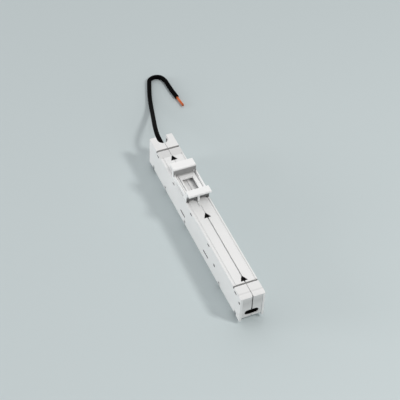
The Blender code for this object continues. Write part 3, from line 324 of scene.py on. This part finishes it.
def strand_rings(index, start_angle, radius):
    """One strand: a circle carried along a helix about the lead's last direction, cut a little short."""
    runs = strand_runs * (1 - cut_short[index] / STRIPPED)
    angle = start_angle + 2 * np.pi * runs / STRAND_LAY
    offset = np.cos(angle)[:, None] * strand_side + np.sin(angle)[:, None] * strand_over
    line = lead_path[-1] + runs[:, None] * lead_ahead + radius * offset
    length = np.linalg.norm(np.diff(line, axis=0), axis=1).sum()
    tip = np.array((0.0, TIP_ROUND))
    between = np.linspace(TIP_RUN, length - TIP_RUN, STRAND_RINGS)
    places = np.concatenate((tip, between, length - tip[::-1]))
    radii = np.full(len(places), STRAND_RADIUS)
    radii[[0, -1]] -= TIP_ROUND
    return rings_along(line, places, radii, STRAND_SIDES, UP)


strands = []
for count, radius in STRAND_LAYERS:
    for k in range(count):
        rings = strand_rings(len(strands), 2 * math.pi * k / count, radius)
        strands.append(surface(f"strand_{len(strands)}", rings))


def gathered(name, members):
    """One object from several finished ones, each of them still a body of its own."""
    bm = bmesh.new()
    for member in members:
        bm.from_mesh(member.data)
    mesh = bpy.data.meshes.new(name)
    bm.to_mesh(mesh)
    bm.free()
    for member in members:
        bpy.data.objects.remove(member, do_unlink=True)
    made = bpy.data.objects.new(name, mesh)
    bpy.context.scene.collection.objects.link(made)
    return made


lead_strands = gathered("lead_strands", strands)
lead_strands.data.materials.append(drawn_copper)
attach(lead_strands, "housing")
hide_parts("lead_copper")

# The stretch that the shells hold runs back into the housing from the lead's start
HELD_RINGS = 8
held_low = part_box("inner_lead")[0]
held_line = np.array(((0.0, held_low.y, LEAD_ROUTE[0][2]), LEAD_ROUTE[0]))
held_stations = np.linspace(0.0, LEAD_ROUTE[0][1] - held_low.y, HELD_RINGS)
held_lead = surface(
    "held_lead",
    rings_along(held_line, held_stations, LEAD_DIAMETER / 2, LEAD_SIDES, UP),
)
held_lead.data.materials.append(pvc)
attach(held_lead, "housing")
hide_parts("inner_lead")


# Housing shells
# Two half shells of light grey polyamide, injection moulded against a finely eroded mould, so their
# faces are matt with an even grain. Snap arms of the right half end in windows of the left one.
SHELL_ROUND = 0.14 * mm
WELD_DISTANCE = 0.002 * mm
FLAT_WITHIN = math.radians(0.6)
SHARP_FROM = math.radians(40)


def softened(name, node, radius, finish, body):
    """A copy of a CAD solid with its triangles merged into flat faces, whose sharp edges a live bevel
    then rounds. It replaces the solid, and takes the finish and body that are given."""
    bm = bmesh.new()
    bm.from_mesh(nodes[node].data)
    bmesh.ops.remove_doubles(bm, verts=bm.verts, dist=WELD_DISTANCE)
    bmesh.ops.dissolve_degenerate(bm, edges=bm.edges, dist=WELD_DISTANCE)
    bmesh.ops.dissolve_limit(bm, angle_limit=FLAT_WITHIN, verts=bm.verts, edges=bm.edges)
    mesh = bpy.data.meshes.new(name)
    bm.to_mesh(mesh)
    bm.free()
    mesh.shade_smooth()
    made = bpy.data.objects.new(name, mesh)
    bpy.context.scene.collection.objects.link(made)
    rounding = made.modifiers.new("rounded edges", "BEVEL")
    rounding.limit_method = "ANGLE"
    rounding.angle_limit = SHARP_FROM
    rounding.width = radius
    rounding.segments = 2
    rounding.use_clamp_overlap = False
    rounding.harden_normals = True
    flatness = made.modifiers.new("flat faces stay flat", "WEIGHTED_NORMAL")
    flatness.mode = "FACE_AREA"
    flatness.weight = 100
    flatness.keep_sharp = True
    mesh.materials.append(finish)
    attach(made, body)
    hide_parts(node)
    return made


def in_box(tree, place, low, high, soft):
    """1 inside a box of the piece's own coordinates and 0 outside it. It falls from 1 to 0 over a soft
    edge inside each side: of the distances to the sides, each as a share of that edge, the least counts."""
    low, high = np.array(low), np.array(high)
    off = add(
        tree,
        "ShaderNodeVectorMath",
        {0: place.outputs["Object"], 1: tuple((low + high) / 2)},
        operation="SUBTRACT",
    )
    size = add(tree, "ShaderNodeVectorMath", {0: off.outputs[0]}, operation="ABSOLUTE")
    beyond = add(
        tree,
        "ShaderNodeVectorMath",
        {0: size.outputs[0], 1: tuple((high - low) / 2)},
        operation="SUBTRACT",
    )
    share = add(tree, "ShaderNodeVectorMath", {0: beyond.outputs[0], 1: soft}, operation="DIVIDE")
    parts = add(tree, "ShaderNodeSeparateXYZ", {0: share.outputs[0]})
    larger = add(tree, "ShaderNodeMath", {0: parts.outputs[0], 1: parts.outputs[1]}, operation="MAXIMUM")
    largest = add(tree, "ShaderNodeMath", {0: larger.outputs[0], 1: parts.outputs[2]}, operation="MAXIMUM")
    return add(
        tree,
        "ShaderNodeMapRange",
        {"Value": largest.outputs[0], "From Min": -1.0, "From Max": 0.0, "To Min": 1.0, "To Max": 0.0},
    )


def moulded_polyamide(name, pale, deep, roughness, grain, painted_shade):
    """Polyamide from an eroded mould: matt, with a fine even grain and barely clouded colour. The real
    grain is near 0.05 mm, too fine to show, so it is drawn at the size given. Painted shade greys the
    colour inside boxes at recesses and shaded faces. Each box is given in mm: its lowest and its highest
    corner, the width of its soft edge along X, Y and Z, and the share of the colour that is left inside it."""
    made, tree, shader = new_finish(name)
    cloud_size = 22.0 * mm
    grain_depth = 0.012 * mm
    speckle_depth = 0.015
    place = add(tree, "ShaderNodeTexCoord")
    cloud = add(
        tree,
        "ShaderNodeTexNoise",
        {"Vector": place.outputs["Object"], "Scale": 1 / cloud_size, "Detail": 3.0, "Roughness": 0.5},
    )
    grit = add(
        tree,
        "ShaderNodeTexNoise",
        {"Vector": place.outputs["Object"], "Scale": 1 / grain, "Detail": 2.0, "Roughness": 0.6},
    )
    shade = add(tree, "ShaderNodeValToRGB", {"Fac": cloud.outputs["Fac"]})
    shade.color_ramp.elements[0].position = 0.3
    shade.color_ramp.elements[0].color = colour(deep)
    shade.color_ramp.elements[1].position = 0.7
    shade.color_ramp.elements[1].color = colour(pale)
    speckle = add(
        tree,
        "ShaderNodeMapRange",
        {"Value": grit.outputs["Fac"], "From Min": 0.25, "From Max": 0.75, "To Min": 1 - speckle_depth},
    )
    tint_and_shade = add(
        tree,
        "ShaderNodeVectorMath",
        {0: shade.outputs[0], 1: speckle.outputs[0]},
        operation="MULTIPLY",
    )
    # Painted shade: each box darkens the colour inside it to the share given
    for low, high, soft, left in painted_shade:
        inside = in_box(tree, place, np.array(low) * mm, np.array(high) * mm, np.array(soft) * mm)
        kept = add(
            tree,
            "ShaderNodeMapRange",
            {"Value": inside.outputs[0], "To Min": 1.0, "To Max": left},
        )
        tint_and_shade = add(
            tree,
            "ShaderNodeVectorMath",
            {0: tint_and_shade.outputs[0], 1: kept.outputs[0]},
            operation="MULTIPLY",
        )
    gloss = add(
        tree,
        "ShaderNodeMapRange",
        {"Value": cloud.outputs["Fac"], "To Min": roughness - 0.05, "To Max": roughness + 0.05},
    )
    bump = add(
        tree,
        "ShaderNodeBump",
        {"Height": grit.outputs["Fac"], "Strength": 0.5, "Distance": grain_depth},
    )
    tree.links.new(tint_and_shade.outputs[0], shader.inputs["Base Color"])
    tree.links.new(gloss.outputs[0], shader.inputs["Roughness"])
    tree.links.new(bump.outputs[0], shader.inputs["Normal"])
    shader.inputs["IOR"].default_value = 1.53
    return made


# Painted shade in the shells' grooves, windows, holes and end panel, and on the top beside the grooves,
# with a painted shadow line at the end slope's edge: corners, soft edges in mm and the share left, as
# moulded_polyamide takes them
CROSS_GROOVE_SHADE = (
    ((-9.0, 65.2, 23.9), (9.0, 66.6, 25.9), (0.1, 0.1, 0.1), 0.28),
    ((-9.0, -69.1, 23.9), (9.0, -67.7, 25.9), (0.1, 0.1, 0.1), 0.28),
)
SIDE_WINDOW_SHADE = (
    ((-8.65, -79.2, 6.2), (-6.9, 79.0, 24.4), (0.05, 0.1, 0.1), 0.09),
    ((6.9, -79.2, 6.2), (8.65, 79.0, 24.4), (0.05, 0.1, 0.1), 0.09),
)
TOP_SHADE_BESIDE_GROOVES = (
    ((-9.0, 57.5, 25.0), (9.0, 66.5, 26.0), (0.1, 0.4, 0.1), 0.84),
    ((-9.0, -76.8, 25.0), (9.0, -68.0, 26.0), (0.1, 0.1, 0.1), 0.97),
)
END_SLOPE_EDGE_SHADOW = (((-9.0, -76.8, 25.0), (9.0, -75.0, 26.0), (0.1, 0.9, 0.1), 0.86),)
END_PANEL_SHADE = (
    ((-7.7, -79.8, 3.0), (7.7, -79.0, 24.6), (0.1, 0.1, 0.1), 0.86),
    ((-7.7, -79.8, 14.0), (7.7, -79.0, 24.6), (0.1, 0.1, 9.0), 0.72),
)
END_SEAM_SHADE = (((-0.4, -79.55, 10.0), (0.4, -78.8, 25.0), (0.05, 0.05, 0.1), 0.4),)
TIE_HOLE_SHADE = (
    ((-5.7, 77.6, 20.5), (-4.05, 79.8, 22.7), (0.05, 0.1, 0.1), 0.1),
    ((4.05, 77.6, 20.5), (5.7, 79.8, 22.7), (0.05, 0.1, 0.1), 0.1),
)
shell_polyamide = moulded_polyamide(
    "shell_polyamide",
    pale="#F0F0F0",
    deep="#EBECEC",
    roughness=0.50,
    grain=0.45 * mm,
    painted_shade=(
        CROSS_GROOVE_SHADE
        + SIDE_WINDOW_SHADE
        + TOP_SHADE_BESIDE_GROOVES
        + END_SLOPE_EDGE_SHADOW
        + END_PANEL_SHADE
        + END_SEAM_SHADE
        + TIE_HOLE_SHADE
    ),
)
softened("left_half", "left_shell", SHELL_ROUND, shell_polyamide, "housing")
softened("right_half", "right_shell", SHELL_ROUND, shell_polyamide, "housing")


# Rail support
# One polyamide moulding in the outline of a 35 mm DIN rail, whiter and a little smoother than the
# shells. Its two tongues run in the housing's guide grooves.
RAIL_ROUND = 0.16 * mm
# Painted shade under the lower lip, in the hollow under the plate and on the upper web's inner face:
# corners, soft edges in mm and the share left
SHADE_UNDER_LOWER_LIP = (((-10.0, 10.6, 22.0), (10.0, 11.7, 32.0), (0.1, 0.2, 2.5), 0.16),)
SHADE_UNDER_PLATE = (((-8.3, 11.0, 24.0), (8.3, 37.5, 27.7), (0.1, 0.1, 0.1), 0.14),)
UPPER_WEB_SHADE = (((-10.0, 33.2, 28.8), (10.0, 36.0, 35.2), (0.1, 1.0, 0.8), 0.33),)
rail_polyamide = moulded_polyamide(
    "rail_polyamide",
    pale="#FAFAFA",
    deep="#F6F7F7",
    roughness=0.44,
    grain=0.4 * mm,
    painted_shade=SHADE_UNDER_LOWER_LIP + SHADE_UNDER_PLATE + UPPER_WEB_SHADE,
)
softened("rail", "rail_support", RAIL_ROUND, rail_polyamide, "rail")


# Black inserts, hook and slider
# Black polyamide mouldings: three insulating saddles whose triangles show at the bars' pitch, the
# fixed hook under the wire end, and the slider behind the release slot.
INSERT_ROUND = 0.1 * mm


def black_moulding(name, roughness):
    """Carbon-black polyamide from an eroded mould: a deep, even black with almost no sheen. Its grain
    is near 0.05 mm and is drawn coarser, so that it shows."""
    made, tree, shader = new_finish(name)
    grain = 0.35 * mm
    grain_depth = 0.01 * mm
    place = add(tree, "ShaderNodeTexCoord")
    grit = add(
        tree,
        "ShaderNodeTexNoise",
        {"Vector": place.outputs["Object"], "Scale": 1 / grain, "Detail": 2.0, "Roughness": 0.6},
    )
    shade = add(tree, "ShaderNodeValToRGB", {"Fac": grit.outputs["Fac"]})
    shade.color_ramp.elements[0].color = colour("#030303")
    shade.color_ramp.elements[1].color = colour("#080808")
    bump = add(
        tree,
        "ShaderNodeBump",
        {"Height": grit.outputs["Fac"], "Strength": 0.4, "Distance": grain_depth},
    )
    tree.links.new(shade.outputs[0], shader.inputs["Base Color"])
    tree.links.new(bump.outputs[0], shader.inputs["Normal"])
    shader.inputs["Roughness"].default_value = roughness
    shader.inputs["IOR"].default_value = 1.53
    shader.inputs["Specular IOR Level"].default_value = 0.06
    return made


insert_black = black_moulding("insert_polyamide", 0.62)
latch_black = black_moulding("latch_polyamide", 0.46)
for insert in ("contact_carrier", "blank_insert_middle", "blank_insert_lower"):
    softened(insert + "_moulding", insert, INSERT_ROUND, insert_black, "housing")
softened("hook_moulding", "fixed_hook", INSERT_ROUND, latch_black, "housing")
softened("slider_moulding", "latch_slider", INSERT_ROUND, latch_black, "latch")


# Latch spring
# A compression spring of drawn spring steel behind the slider, with its last turn at each end wound
# close.
SPRING_TURNS = 7
SPRING_WIRE = 0.5 * mm
POINTS_PER_TURN = 28
WIRE_SIDES = 10


def bright_steel(name, tone, roughness, marks_size):
    """Drawn, rolled or plated steel: a grey metal whose gloss varies in fine marks of the size given
    along X, Y and Z. The real ones are near 0.02 mm wide, too fine to show, so they are drawn coarser."""
    made, tree, shader = new_finish(name)
    place = add(tree, "ShaderNodeTexCoord")
    stretched = add(
        tree,
        "ShaderNodeMapping",
        {"Vector": place.outputs["Object"], "Scale": tuple(1 / size for size in marks_size)},
    )
    marks = add(
        tree,
        "ShaderNodeTexNoise",
        {"Vector": stretched.outputs[0], "Scale": 1.0, "Detail": 4.0, "Roughness": 0.6},
    )
    gloss = add(
        tree,
        "ShaderNodeMapRange",
        {"Value": marks.outputs["Fac"], "To Min": roughness - 0.08, "To Max": roughness + 0.12},
    )
    shade = add(tree, "ShaderNodeValToRGB", {"Fac": marks.outputs["Fac"]})
    shade.color_ramp.elements[0].color = colour("#8E8F90")
    shade.color_ramp.elements[1].color = colour(tone)
    tree.links.new(shade.outputs[0], shader.inputs["Base Color"])
    tree.links.new(gloss.outputs[0], shader.inputs["Roughness"])
    shader.inputs["Metallic"].default_value = 1.0
    return made


spring_low, spring_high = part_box("latch_spring")
spring_middle = (spring_low + spring_high) / 2

# A helix about Y whose rise is the share of the turns less sin(2 pi share) / (4 pi), so its ends lie close
share = np.linspace(0.0, 1.0, SPRING_TURNS * POINTS_PER_TURN)
spring_angle = 2 * np.pi * SPRING_TURNS * share
spring_reach = (spring_high.x - spring_low.x - SPRING_WIRE) / 2
spring_rise = spring_high.y - spring_low.y - SPRING_WIRE
spring_line = np.stack(
    (
        spring_middle.x + spring_reach * np.cos(spring_angle),
        spring_low.y + SPRING_WIRE / 2 + spring_rise * (share - np.sin(2 * np.pi * share) / (4 * np.pi)),
        spring_middle.z + spring_reach * np.sin(spring_angle),
    ),
    axis=1,
)
spring_run = np.linalg.norm(np.diff(spring_line, axis=0), axis=1).sum()
drawn_steel = bright_steel("drawn_spring_steel", "#C4C5C6", 0.28, (1.1 * mm, 1.1 * mm, 1.1 * mm))
latch_coil = surface(
    "latch_coil",
    rings_along(
        spring_line,
        np.linspace(0.0, spring_run, len(share)),
        SPRING_WIRE / 2,
        WIRE_SIDES,
        (0.0, 1.0, 0.0),
    ),
)
latch_coil.data.materials.append(drawn_steel)
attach(latch_coil, "housing")
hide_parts("latch_spring")
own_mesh(latch_coil)


# End rivet
# A short zinc-plated steel pin across the lower end, which holds the two halves together. Its ends
# are drilled and chamfered, and lie deep in round holes of the shells' sides.


def rings_about(axis, along, middle, profile, sides):
    """A turned piece: rings square to an axis, 0 for X or 1 for Y or 2 for Z, one for each
    (distance along the axis, radius) pair of the profile."""
    distance, radius = np.array(profile).T
    angle = np.linspace(0.0, 2 * np.pi, sides, endpoint=False)
    first, second = ((1, 2), (2, 0), (0, 1))[axis]
    rings = np.empty((len(distance), sides, 3))
    rings[..., axis] = (along + distance)[:, None]
    rings[..., first] = middle[0] + radius[:, None] * np.cos(angle)
    rings[..., second] = middle[1] + radius[:, None] * np.sin(angle)
    return rings


rivet_low, rivet_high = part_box("end_rivet")
rivet_middle = (rivet_low + rivet_high) / 2
rivet_radius = (rivet_high.y - rivet_low.y) / 2
rivet_half = rivet_high.x
RIVET_SIDES = 28
RIVET_CHAMFER = 0.18 * mm
DRILL_RADIUS = 0.58 * mm
DRILL_DEPTH = 2.0 * mm
DRILL_TIP = 0.2 * mm
DRILL_POINT = 0.02 * mm
DRILL_RIM_DEPTH = 0.05 * mm
DRILL_RIM_WIDTH = 0.08 * mm
rivet_end = [
    (rivet_half - DRILL_DEPTH - DRILL_TIP, DRILL_POINT),
    (rivet_half - DRILL_DEPTH, DRILL_RADIUS),
    (rivet_half - DRILL_RIM_DEPTH, DRILL_RADIUS),
    (rivet_half, DRILL_RADIUS + DRILL_RIM_WIDTH),
    (rivet_half, rivet_radius - RIVET_CHAMFER),
    (rivet_half - RIVET_CHAMFER, rivet_radius),
]
rivet_profile = [(-distance, radius) for distance, radius in rivet_end] + rivet_end[::-1]
zinc_steel = bright_steel("zinc_plated_steel", "#D3D5D6", 0.36, (3.3 * mm, 0.67 * mm, 0.67 * mm))
rivet_pin = surface(
    "rivet_pin",
    rings_about(0, 0.0, (rivet_middle.y, rivet_middle.z), rivet_profile, RIVET_SIDES),
)
rivet_pin.data.materials.append(zinc_steel)
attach(rivet_pin, "housing")
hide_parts("end_rivet")


# Brake spring
# A bowed strip of spring steel under the rail support's upper web. It rubs on the housing, so that
# the support stays where it is pushed.
brake_low, brake_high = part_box("rail_brake_spring")
STRIP_THICKNESS = 0.3 * mm
STRIP_CORNER = 0.06 * mm
STRIP_STATIONS = 33


def strip_rings(low, high, thickness):
    """A bowed strip: a flat rectangle with cut corners carried across X, raised by the square of its
    distance from the middle."""
    half = (high.x - low.x) / 2
    across = np.linspace(-half, half, STRIP_STATIONS)
    bow = high.z - low.z - thickness
    level = low.z + thickness / 2 + bow * (across / half) ** 2
    section = np.array([
        (low.y, -thickness / 2 + STRIP_CORNER),
        (low.y + STRIP_CORNER, -thickness / 2),
        (high.y - STRIP_CORNER, -thickness / 2),
        (high.y, -thickness / 2 + STRIP_CORNER),
        (high.y, thickness / 2 - STRIP_CORNER),
        (high.y - STRIP_CORNER, thickness / 2),
        (low.y + STRIP_CORNER, thickness / 2),
        (low.y, thickness / 2 - STRIP_CORNER),
    ])
    rings = np.empty((len(across), len(section), 3))
    rings[..., 0] = across[:, None]
    rings[..., 1] = section[:, 0]
    rings[..., 2] = level[:, None] + section[:, 1]
    return rings


rolled_steel = bright_steel("rolled_spring_steel", "#BFC0C1", 0.30, (2.5 * mm, 0.4 * mm, 0.4 * mm))
brake_strip = surface("brake_strip", strip_rings(brake_low, brake_high, STRIP_THICKNESS))
brake_strip.data.materials.append(rolled_steel)
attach(brake_strip, "rail")
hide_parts("rail_brake_spring")


# Contact and conductor
# A folded fork of tinned bronze grips the first bar, with a steel over-spring round its legs. A rivet
# joins it to a punched copper strip, and a crimped sleeve joins the strip to the lead's strands.
SHEET_ROUND = 0.08 * mm


def tinned_bronze():
    """Bronze strip with a hot-dipped tin coat: a pale, slightly cloudy metal."""
    made, tree, shader = new_finish("tinned_bronze")
    patch = 2.5 * mm
    place = add(tree, "ShaderNodeTexCoord")
    cloud = add(
        tree,
        "ShaderNodeTexNoise",
        {"Vector": place.outputs["Object"], "Scale": 1 / patch, "Detail": 5.0, "Roughness": 0.6},
    )
    shade = add(tree, "ShaderNodeValToRGB", {"Fac": cloud.outputs["Fac"]})
    shade.color_ramp.elements[0].position = 0.3
    shade.color_ramp.elements[0].color = colour("#B9B4A8")
    shade.color_ramp.elements[1].position = 0.75
    shade.color_ramp.elements[1].color = colour("#DAD7CF")
    gloss = add(
        tree,
        "ShaderNodeMapRange",
        {"Value": cloud.outputs["Fac"], "To Min": 0.26, "To Max": 0.44},
    )
    tree.links.new(shade.outputs[0], shader.inputs["Base Color"])
    tree.links.new(gloss.outputs[0], shader.inputs["Roughness"])
    shader.inputs["Metallic"].default_value = 1.0
    return made


tin = tinned_bronze()
punched_copper = bare_copper("punched_copper", 0.38)
softened("fork_sheet", "contact_fork", SHEET_ROUND, tin, "housing")
softened("over_spring", "contact_spring", SHEET_ROUND, rolled_steel, "housing")
softened("punched_strip", "conductor_bar", SHEET_ROUND, punched_copper, "housing")

# The rivet has a flat head under the fork's top and a domed one over the strip
joint_low, joint_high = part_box("contact_rivet")
joint_middle = (joint_low + joint_high) / 2
joint_head = (joint_high.x - joint_low.x) / 2
JOINT_SIDES = 24
JOINT_SHANK = 0.8 * mm
JOINT_HEAD_THICKNESS = 0.6 * mm
JOINT_CHAMFER = 0.12 * mm
JOINT_TIP = 0.05 * mm
DOME_BELOW_TOP = (0.35 * mm, 0.12 * mm, 0.03 * mm)
DOME_SHARES = (0.96, 0.7, 0.35)
joint_profile = [
    (joint_low.z, JOINT_TIP),
    (joint_low.z, joint_head - JOINT_CHAMFER),
    (joint_low.z + JOINT_CHAMFER, joint_head),
    (joint_low.z + JOINT_HEAD_THICKNESS, joint_head),
    (joint_low.z + JOINT_HEAD_THICKNESS, JOINT_SHANK),
    (joint_high.z - JOINT_HEAD_THICKNESS, JOINT_SHANK),
    (joint_high.z - JOINT_HEAD_THICKNESS, joint_head),
]
joint_profile += [
    (joint_high.z - below, joint_head * part) for below, part in zip(DOME_BELOW_TOP, DOME_SHARES)
]
joint_profile += [(joint_high.z, JOINT_TIP)]
joint_rivet = surface(
    "joint_rivet",
    rings_about(2, 0.0, (joint_middle.x, joint_middle.y), joint_profile, JOINT_SIDES),
)
joint_rivet.data.materials.append(punched_copper)
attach(joint_rivet, "housing")
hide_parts("contact_rivet")

# The sleeve is pressed in twice from above, which leaves two round dents
sleeve_low, sleeve_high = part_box("crimp_sleeve")
sleeve_middle = (sleeve_low + sleeve_high) / 2
sleeve_radius = (sleeve_high.x - sleeve_low.x) / 2
SLEEVE_WALL = 0.5 * mm
SLEEVE_EDGE = 0.1 * mm
SLEEVE_STATIONS = 24
SLEEVE_SIDES = 40
DENT_FROM_END = 1.5 * mm
DENT_DEPTH = 0.22 * mm
DENT_REACH = 0.75 * mm


def dented(rings, middle, dents):
    """Moves each upper point towards the sleeve's axis by the dent's depth times e to the power of minus
    the square of its distance from the press, as a share of the dent's reach."""
    moved = rings.copy()
    from_axis = rings - np.array(middle)
    from_axis[..., 1] = 0.0
    away = from_axis / np.linalg.norm(from_axis, axis=-1, keepdims=True)
    for place in dents:
        near = ((rings[..., 1] - place) ** 2 + (rings[..., 0] - middle[0]) ** 2) / DENT_REACH**2
        depth = DENT_DEPTH * np.exp(-near) * (away[..., 2] > 0)
        moved -= away * depth[..., None]
    return moved


sleeve_bore = sleeve_radius - SLEEVE_WALL
sleeve_rim = sleeve_radius - SLEEVE_EDGE
sleeve_runs = np.linspace(sleeve_low.y + SLEEVE_EDGE, sleeve_high.y - SLEEVE_EDGE, SLEEVE_STATIONS)
sleeve_profile = [(y, sleeve_radius) for y in sleeve_runs]
sleeve_profile += [(sleeve_high.y, sleeve_rim), (sleeve_high.y, sleeve_bore)]
sleeve_profile += [(y, sleeve_bore) for y in sleeve_runs[::-1]]
sleeve_profile += [(sleeve_low.y, sleeve_bore), (sleeve_low.y, sleeve_rim)]
sleeve_profile += sleeve_profile[:1]
sleeve_rings = dented(
    rings_about(1, 0.0, (sleeve_middle.z, sleeve_middle.x), sleeve_profile, SLEEVE_SIDES),
    sleeve_middle,
    (sleeve_low.y + DENT_FROM_END, sleeve_high.y - DENT_FROM_END),
)


def ring_surface(name, rings):
    """A closed ring from a grid whose last row repeats its first: the caps go and the rows are welded."""
    repeated_within = 0.001 * mm
    made = surface(name, rings)
    bm = bmesh.new()
    bm.from_mesh(made.data)
    caps = [face for face in bm.faces if len(face.verts) > 4]
    bmesh.ops.delete(bm, geom=caps, context="FACES_ONLY")
    bmesh.ops.remove_doubles(bm, verts=bm.verts, dist=repeated_within)
    bmesh.ops.recalc_face_normals(bm, faces=bm.faces)
    bm.to_mesh(made.data)
    bm.free()
    return made


pressed_sleeve = ring_surface("pressed_sleeve", sleeve_rings)
pressed_sleeve.data.materials.append(tin)
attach(pressed_sleeve, "housing")
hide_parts("crimp_sleeve")

# The strands inside the sleeve, laid up as outside
inner_low, inner_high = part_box("inner_strands")
inner_middle = (inner_low + inner_high) / 2
inner_run = inner_high.y - inner_low.y
INNER_STRAND_RINGS = 12


def inner_strand_rings(start_angle, radius):
    """A circle carried along a helix about the lead's axis, inside the sleeve."""
    runs = np.linspace(0.0, inner_run, INNER_STRAND_RINGS)
    angle = start_angle + 2 * np.pi * runs / STRAND_LAY
    line = np.stack(
        (
            inner_middle.x + radius * np.cos(angle),
            inner_low.y + runs,
            inner_middle.z + radius * np.sin(angle),
        ),
        axis=1,
    )
    return rings_along(line, runs, STRAND_RADIUS, STRAND_SIDES, UP)


inner_bundle = gathered(
    "inner_bundle",
    [
        surface(f"inner_{count}_{k}", inner_strand_rings(2 * math.pi * k / count, radius))
        for count, radius in STRAND_LAYERS
        for k in range(count)
    ],
)
inner_bundle.data.materials.append(drawn_copper)
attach(inner_bundle, "housing")
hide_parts("inner_strands")


# Floor and light
# A pale blue-grey board under a soft lamp from high on the right in front. Two weaker lamps stand low,
# one on the left behind and one in front, and a grey surround gets darker towards the camera.
FLOOR_SIZE = 6.0
FLOOR_UNDER = 0.05 * mm


def plain_board():
    """A sheet of matt painted board: one even colour with no gloss."""
    made, tree, shader = new_finish("painted_board")
    shader.inputs["Base Color"].default_value = colour("#C7D1D3")
    shader.inputs["Roughness"].default_value = 0.9
    shader.inputs["Specular IOR Level"].default_value = 0.2
    return made


def lamp(name, place, target, size, power, tint):
    """A square soft lamp at a place, turned towards a target."""
    light = bpy.data.lights.new(name, "AREA")
    light.shape = "SQUARE"
    light.size = size
    light.energy = power
    light.color = colour(tint)[:3]
    made = bpy.data.objects.new(name, light)
    turn = (Vector(target) - Vector(place)).to_track_quat("-Z", "Y").to_matrix().to_4x4()
    made.matrix_world = Matrix.Translation(place) @ turn
    bpy.context.scene.collection.objects.link(made)
    return made


floor_mesh = bpy.data.meshes.new("floor")
floor_corners = np.array(((-1, -1, 0), (1, -1, 0), (1, 1, 0), (-1, 1, 0))) * FLOOR_SIZE / 2
floor_corners[:, 2] = -FLOOR_UNDER
floor_mesh.from_pydata(floor_corners.tolist(), [], [[0, 1, 2, 3]])
floor_mesh.materials.append(plain_board())
floor = bpy.data.objects.new("floor", floor_mesh)
bpy.context.scene.collection.objects.link(floor)

lamp("key_lamp", (0.55, -0.62, 1.0), (0.0, 0.0, 0.0), size=0.2, power=5.9, tint="#FFFDFA")
lamp("fill_lamp", (-1.2, 0.45, 0.27), (0.0, 0.0, 0.0), size=0.5, power=5.0, tint="#FFFDFC")
lamp("front_lamp", (0.1, -0.9, 0.32), (0.0, -0.1, 0.0), size=0.4, power=0.9, tint="#FFFFFF")


def surround(strongest):
    """A pale grey surround that is light behind the housing and dark in front of it: its strength is the
    strongest times (1 + the direction's Y) / 2."""
    made = bpy.data.worlds.new("surround")
    made.use_nodes = True
    tree = made.node_tree
    place = add(tree, "ShaderNodeTexCoord")
    parts = add(tree, "ShaderNodeSeparateXYZ", {"Vector": place.outputs["Generated"]})
    share = add(
        tree,
        "ShaderNodeMapRange",
        {"Value": parts.outputs["Y"], "From Min": -1.0, "From Max": 1.0},
    )
    strength = add(tree, "ShaderNodeMath", {0: share.outputs[0], 1: strongest}, operation="MULTIPLY")
    tree.links.new(strength.outputs[0], tree.nodes["Background"].inputs["Strength"])
    tree.nodes["Background"].inputs["Color"].default_value = colour("#F8F8F8")
    return made


bpy.context.scene.world = surround(1.25)
bpy.context.scene.view_settings.view_transform = "Standard"
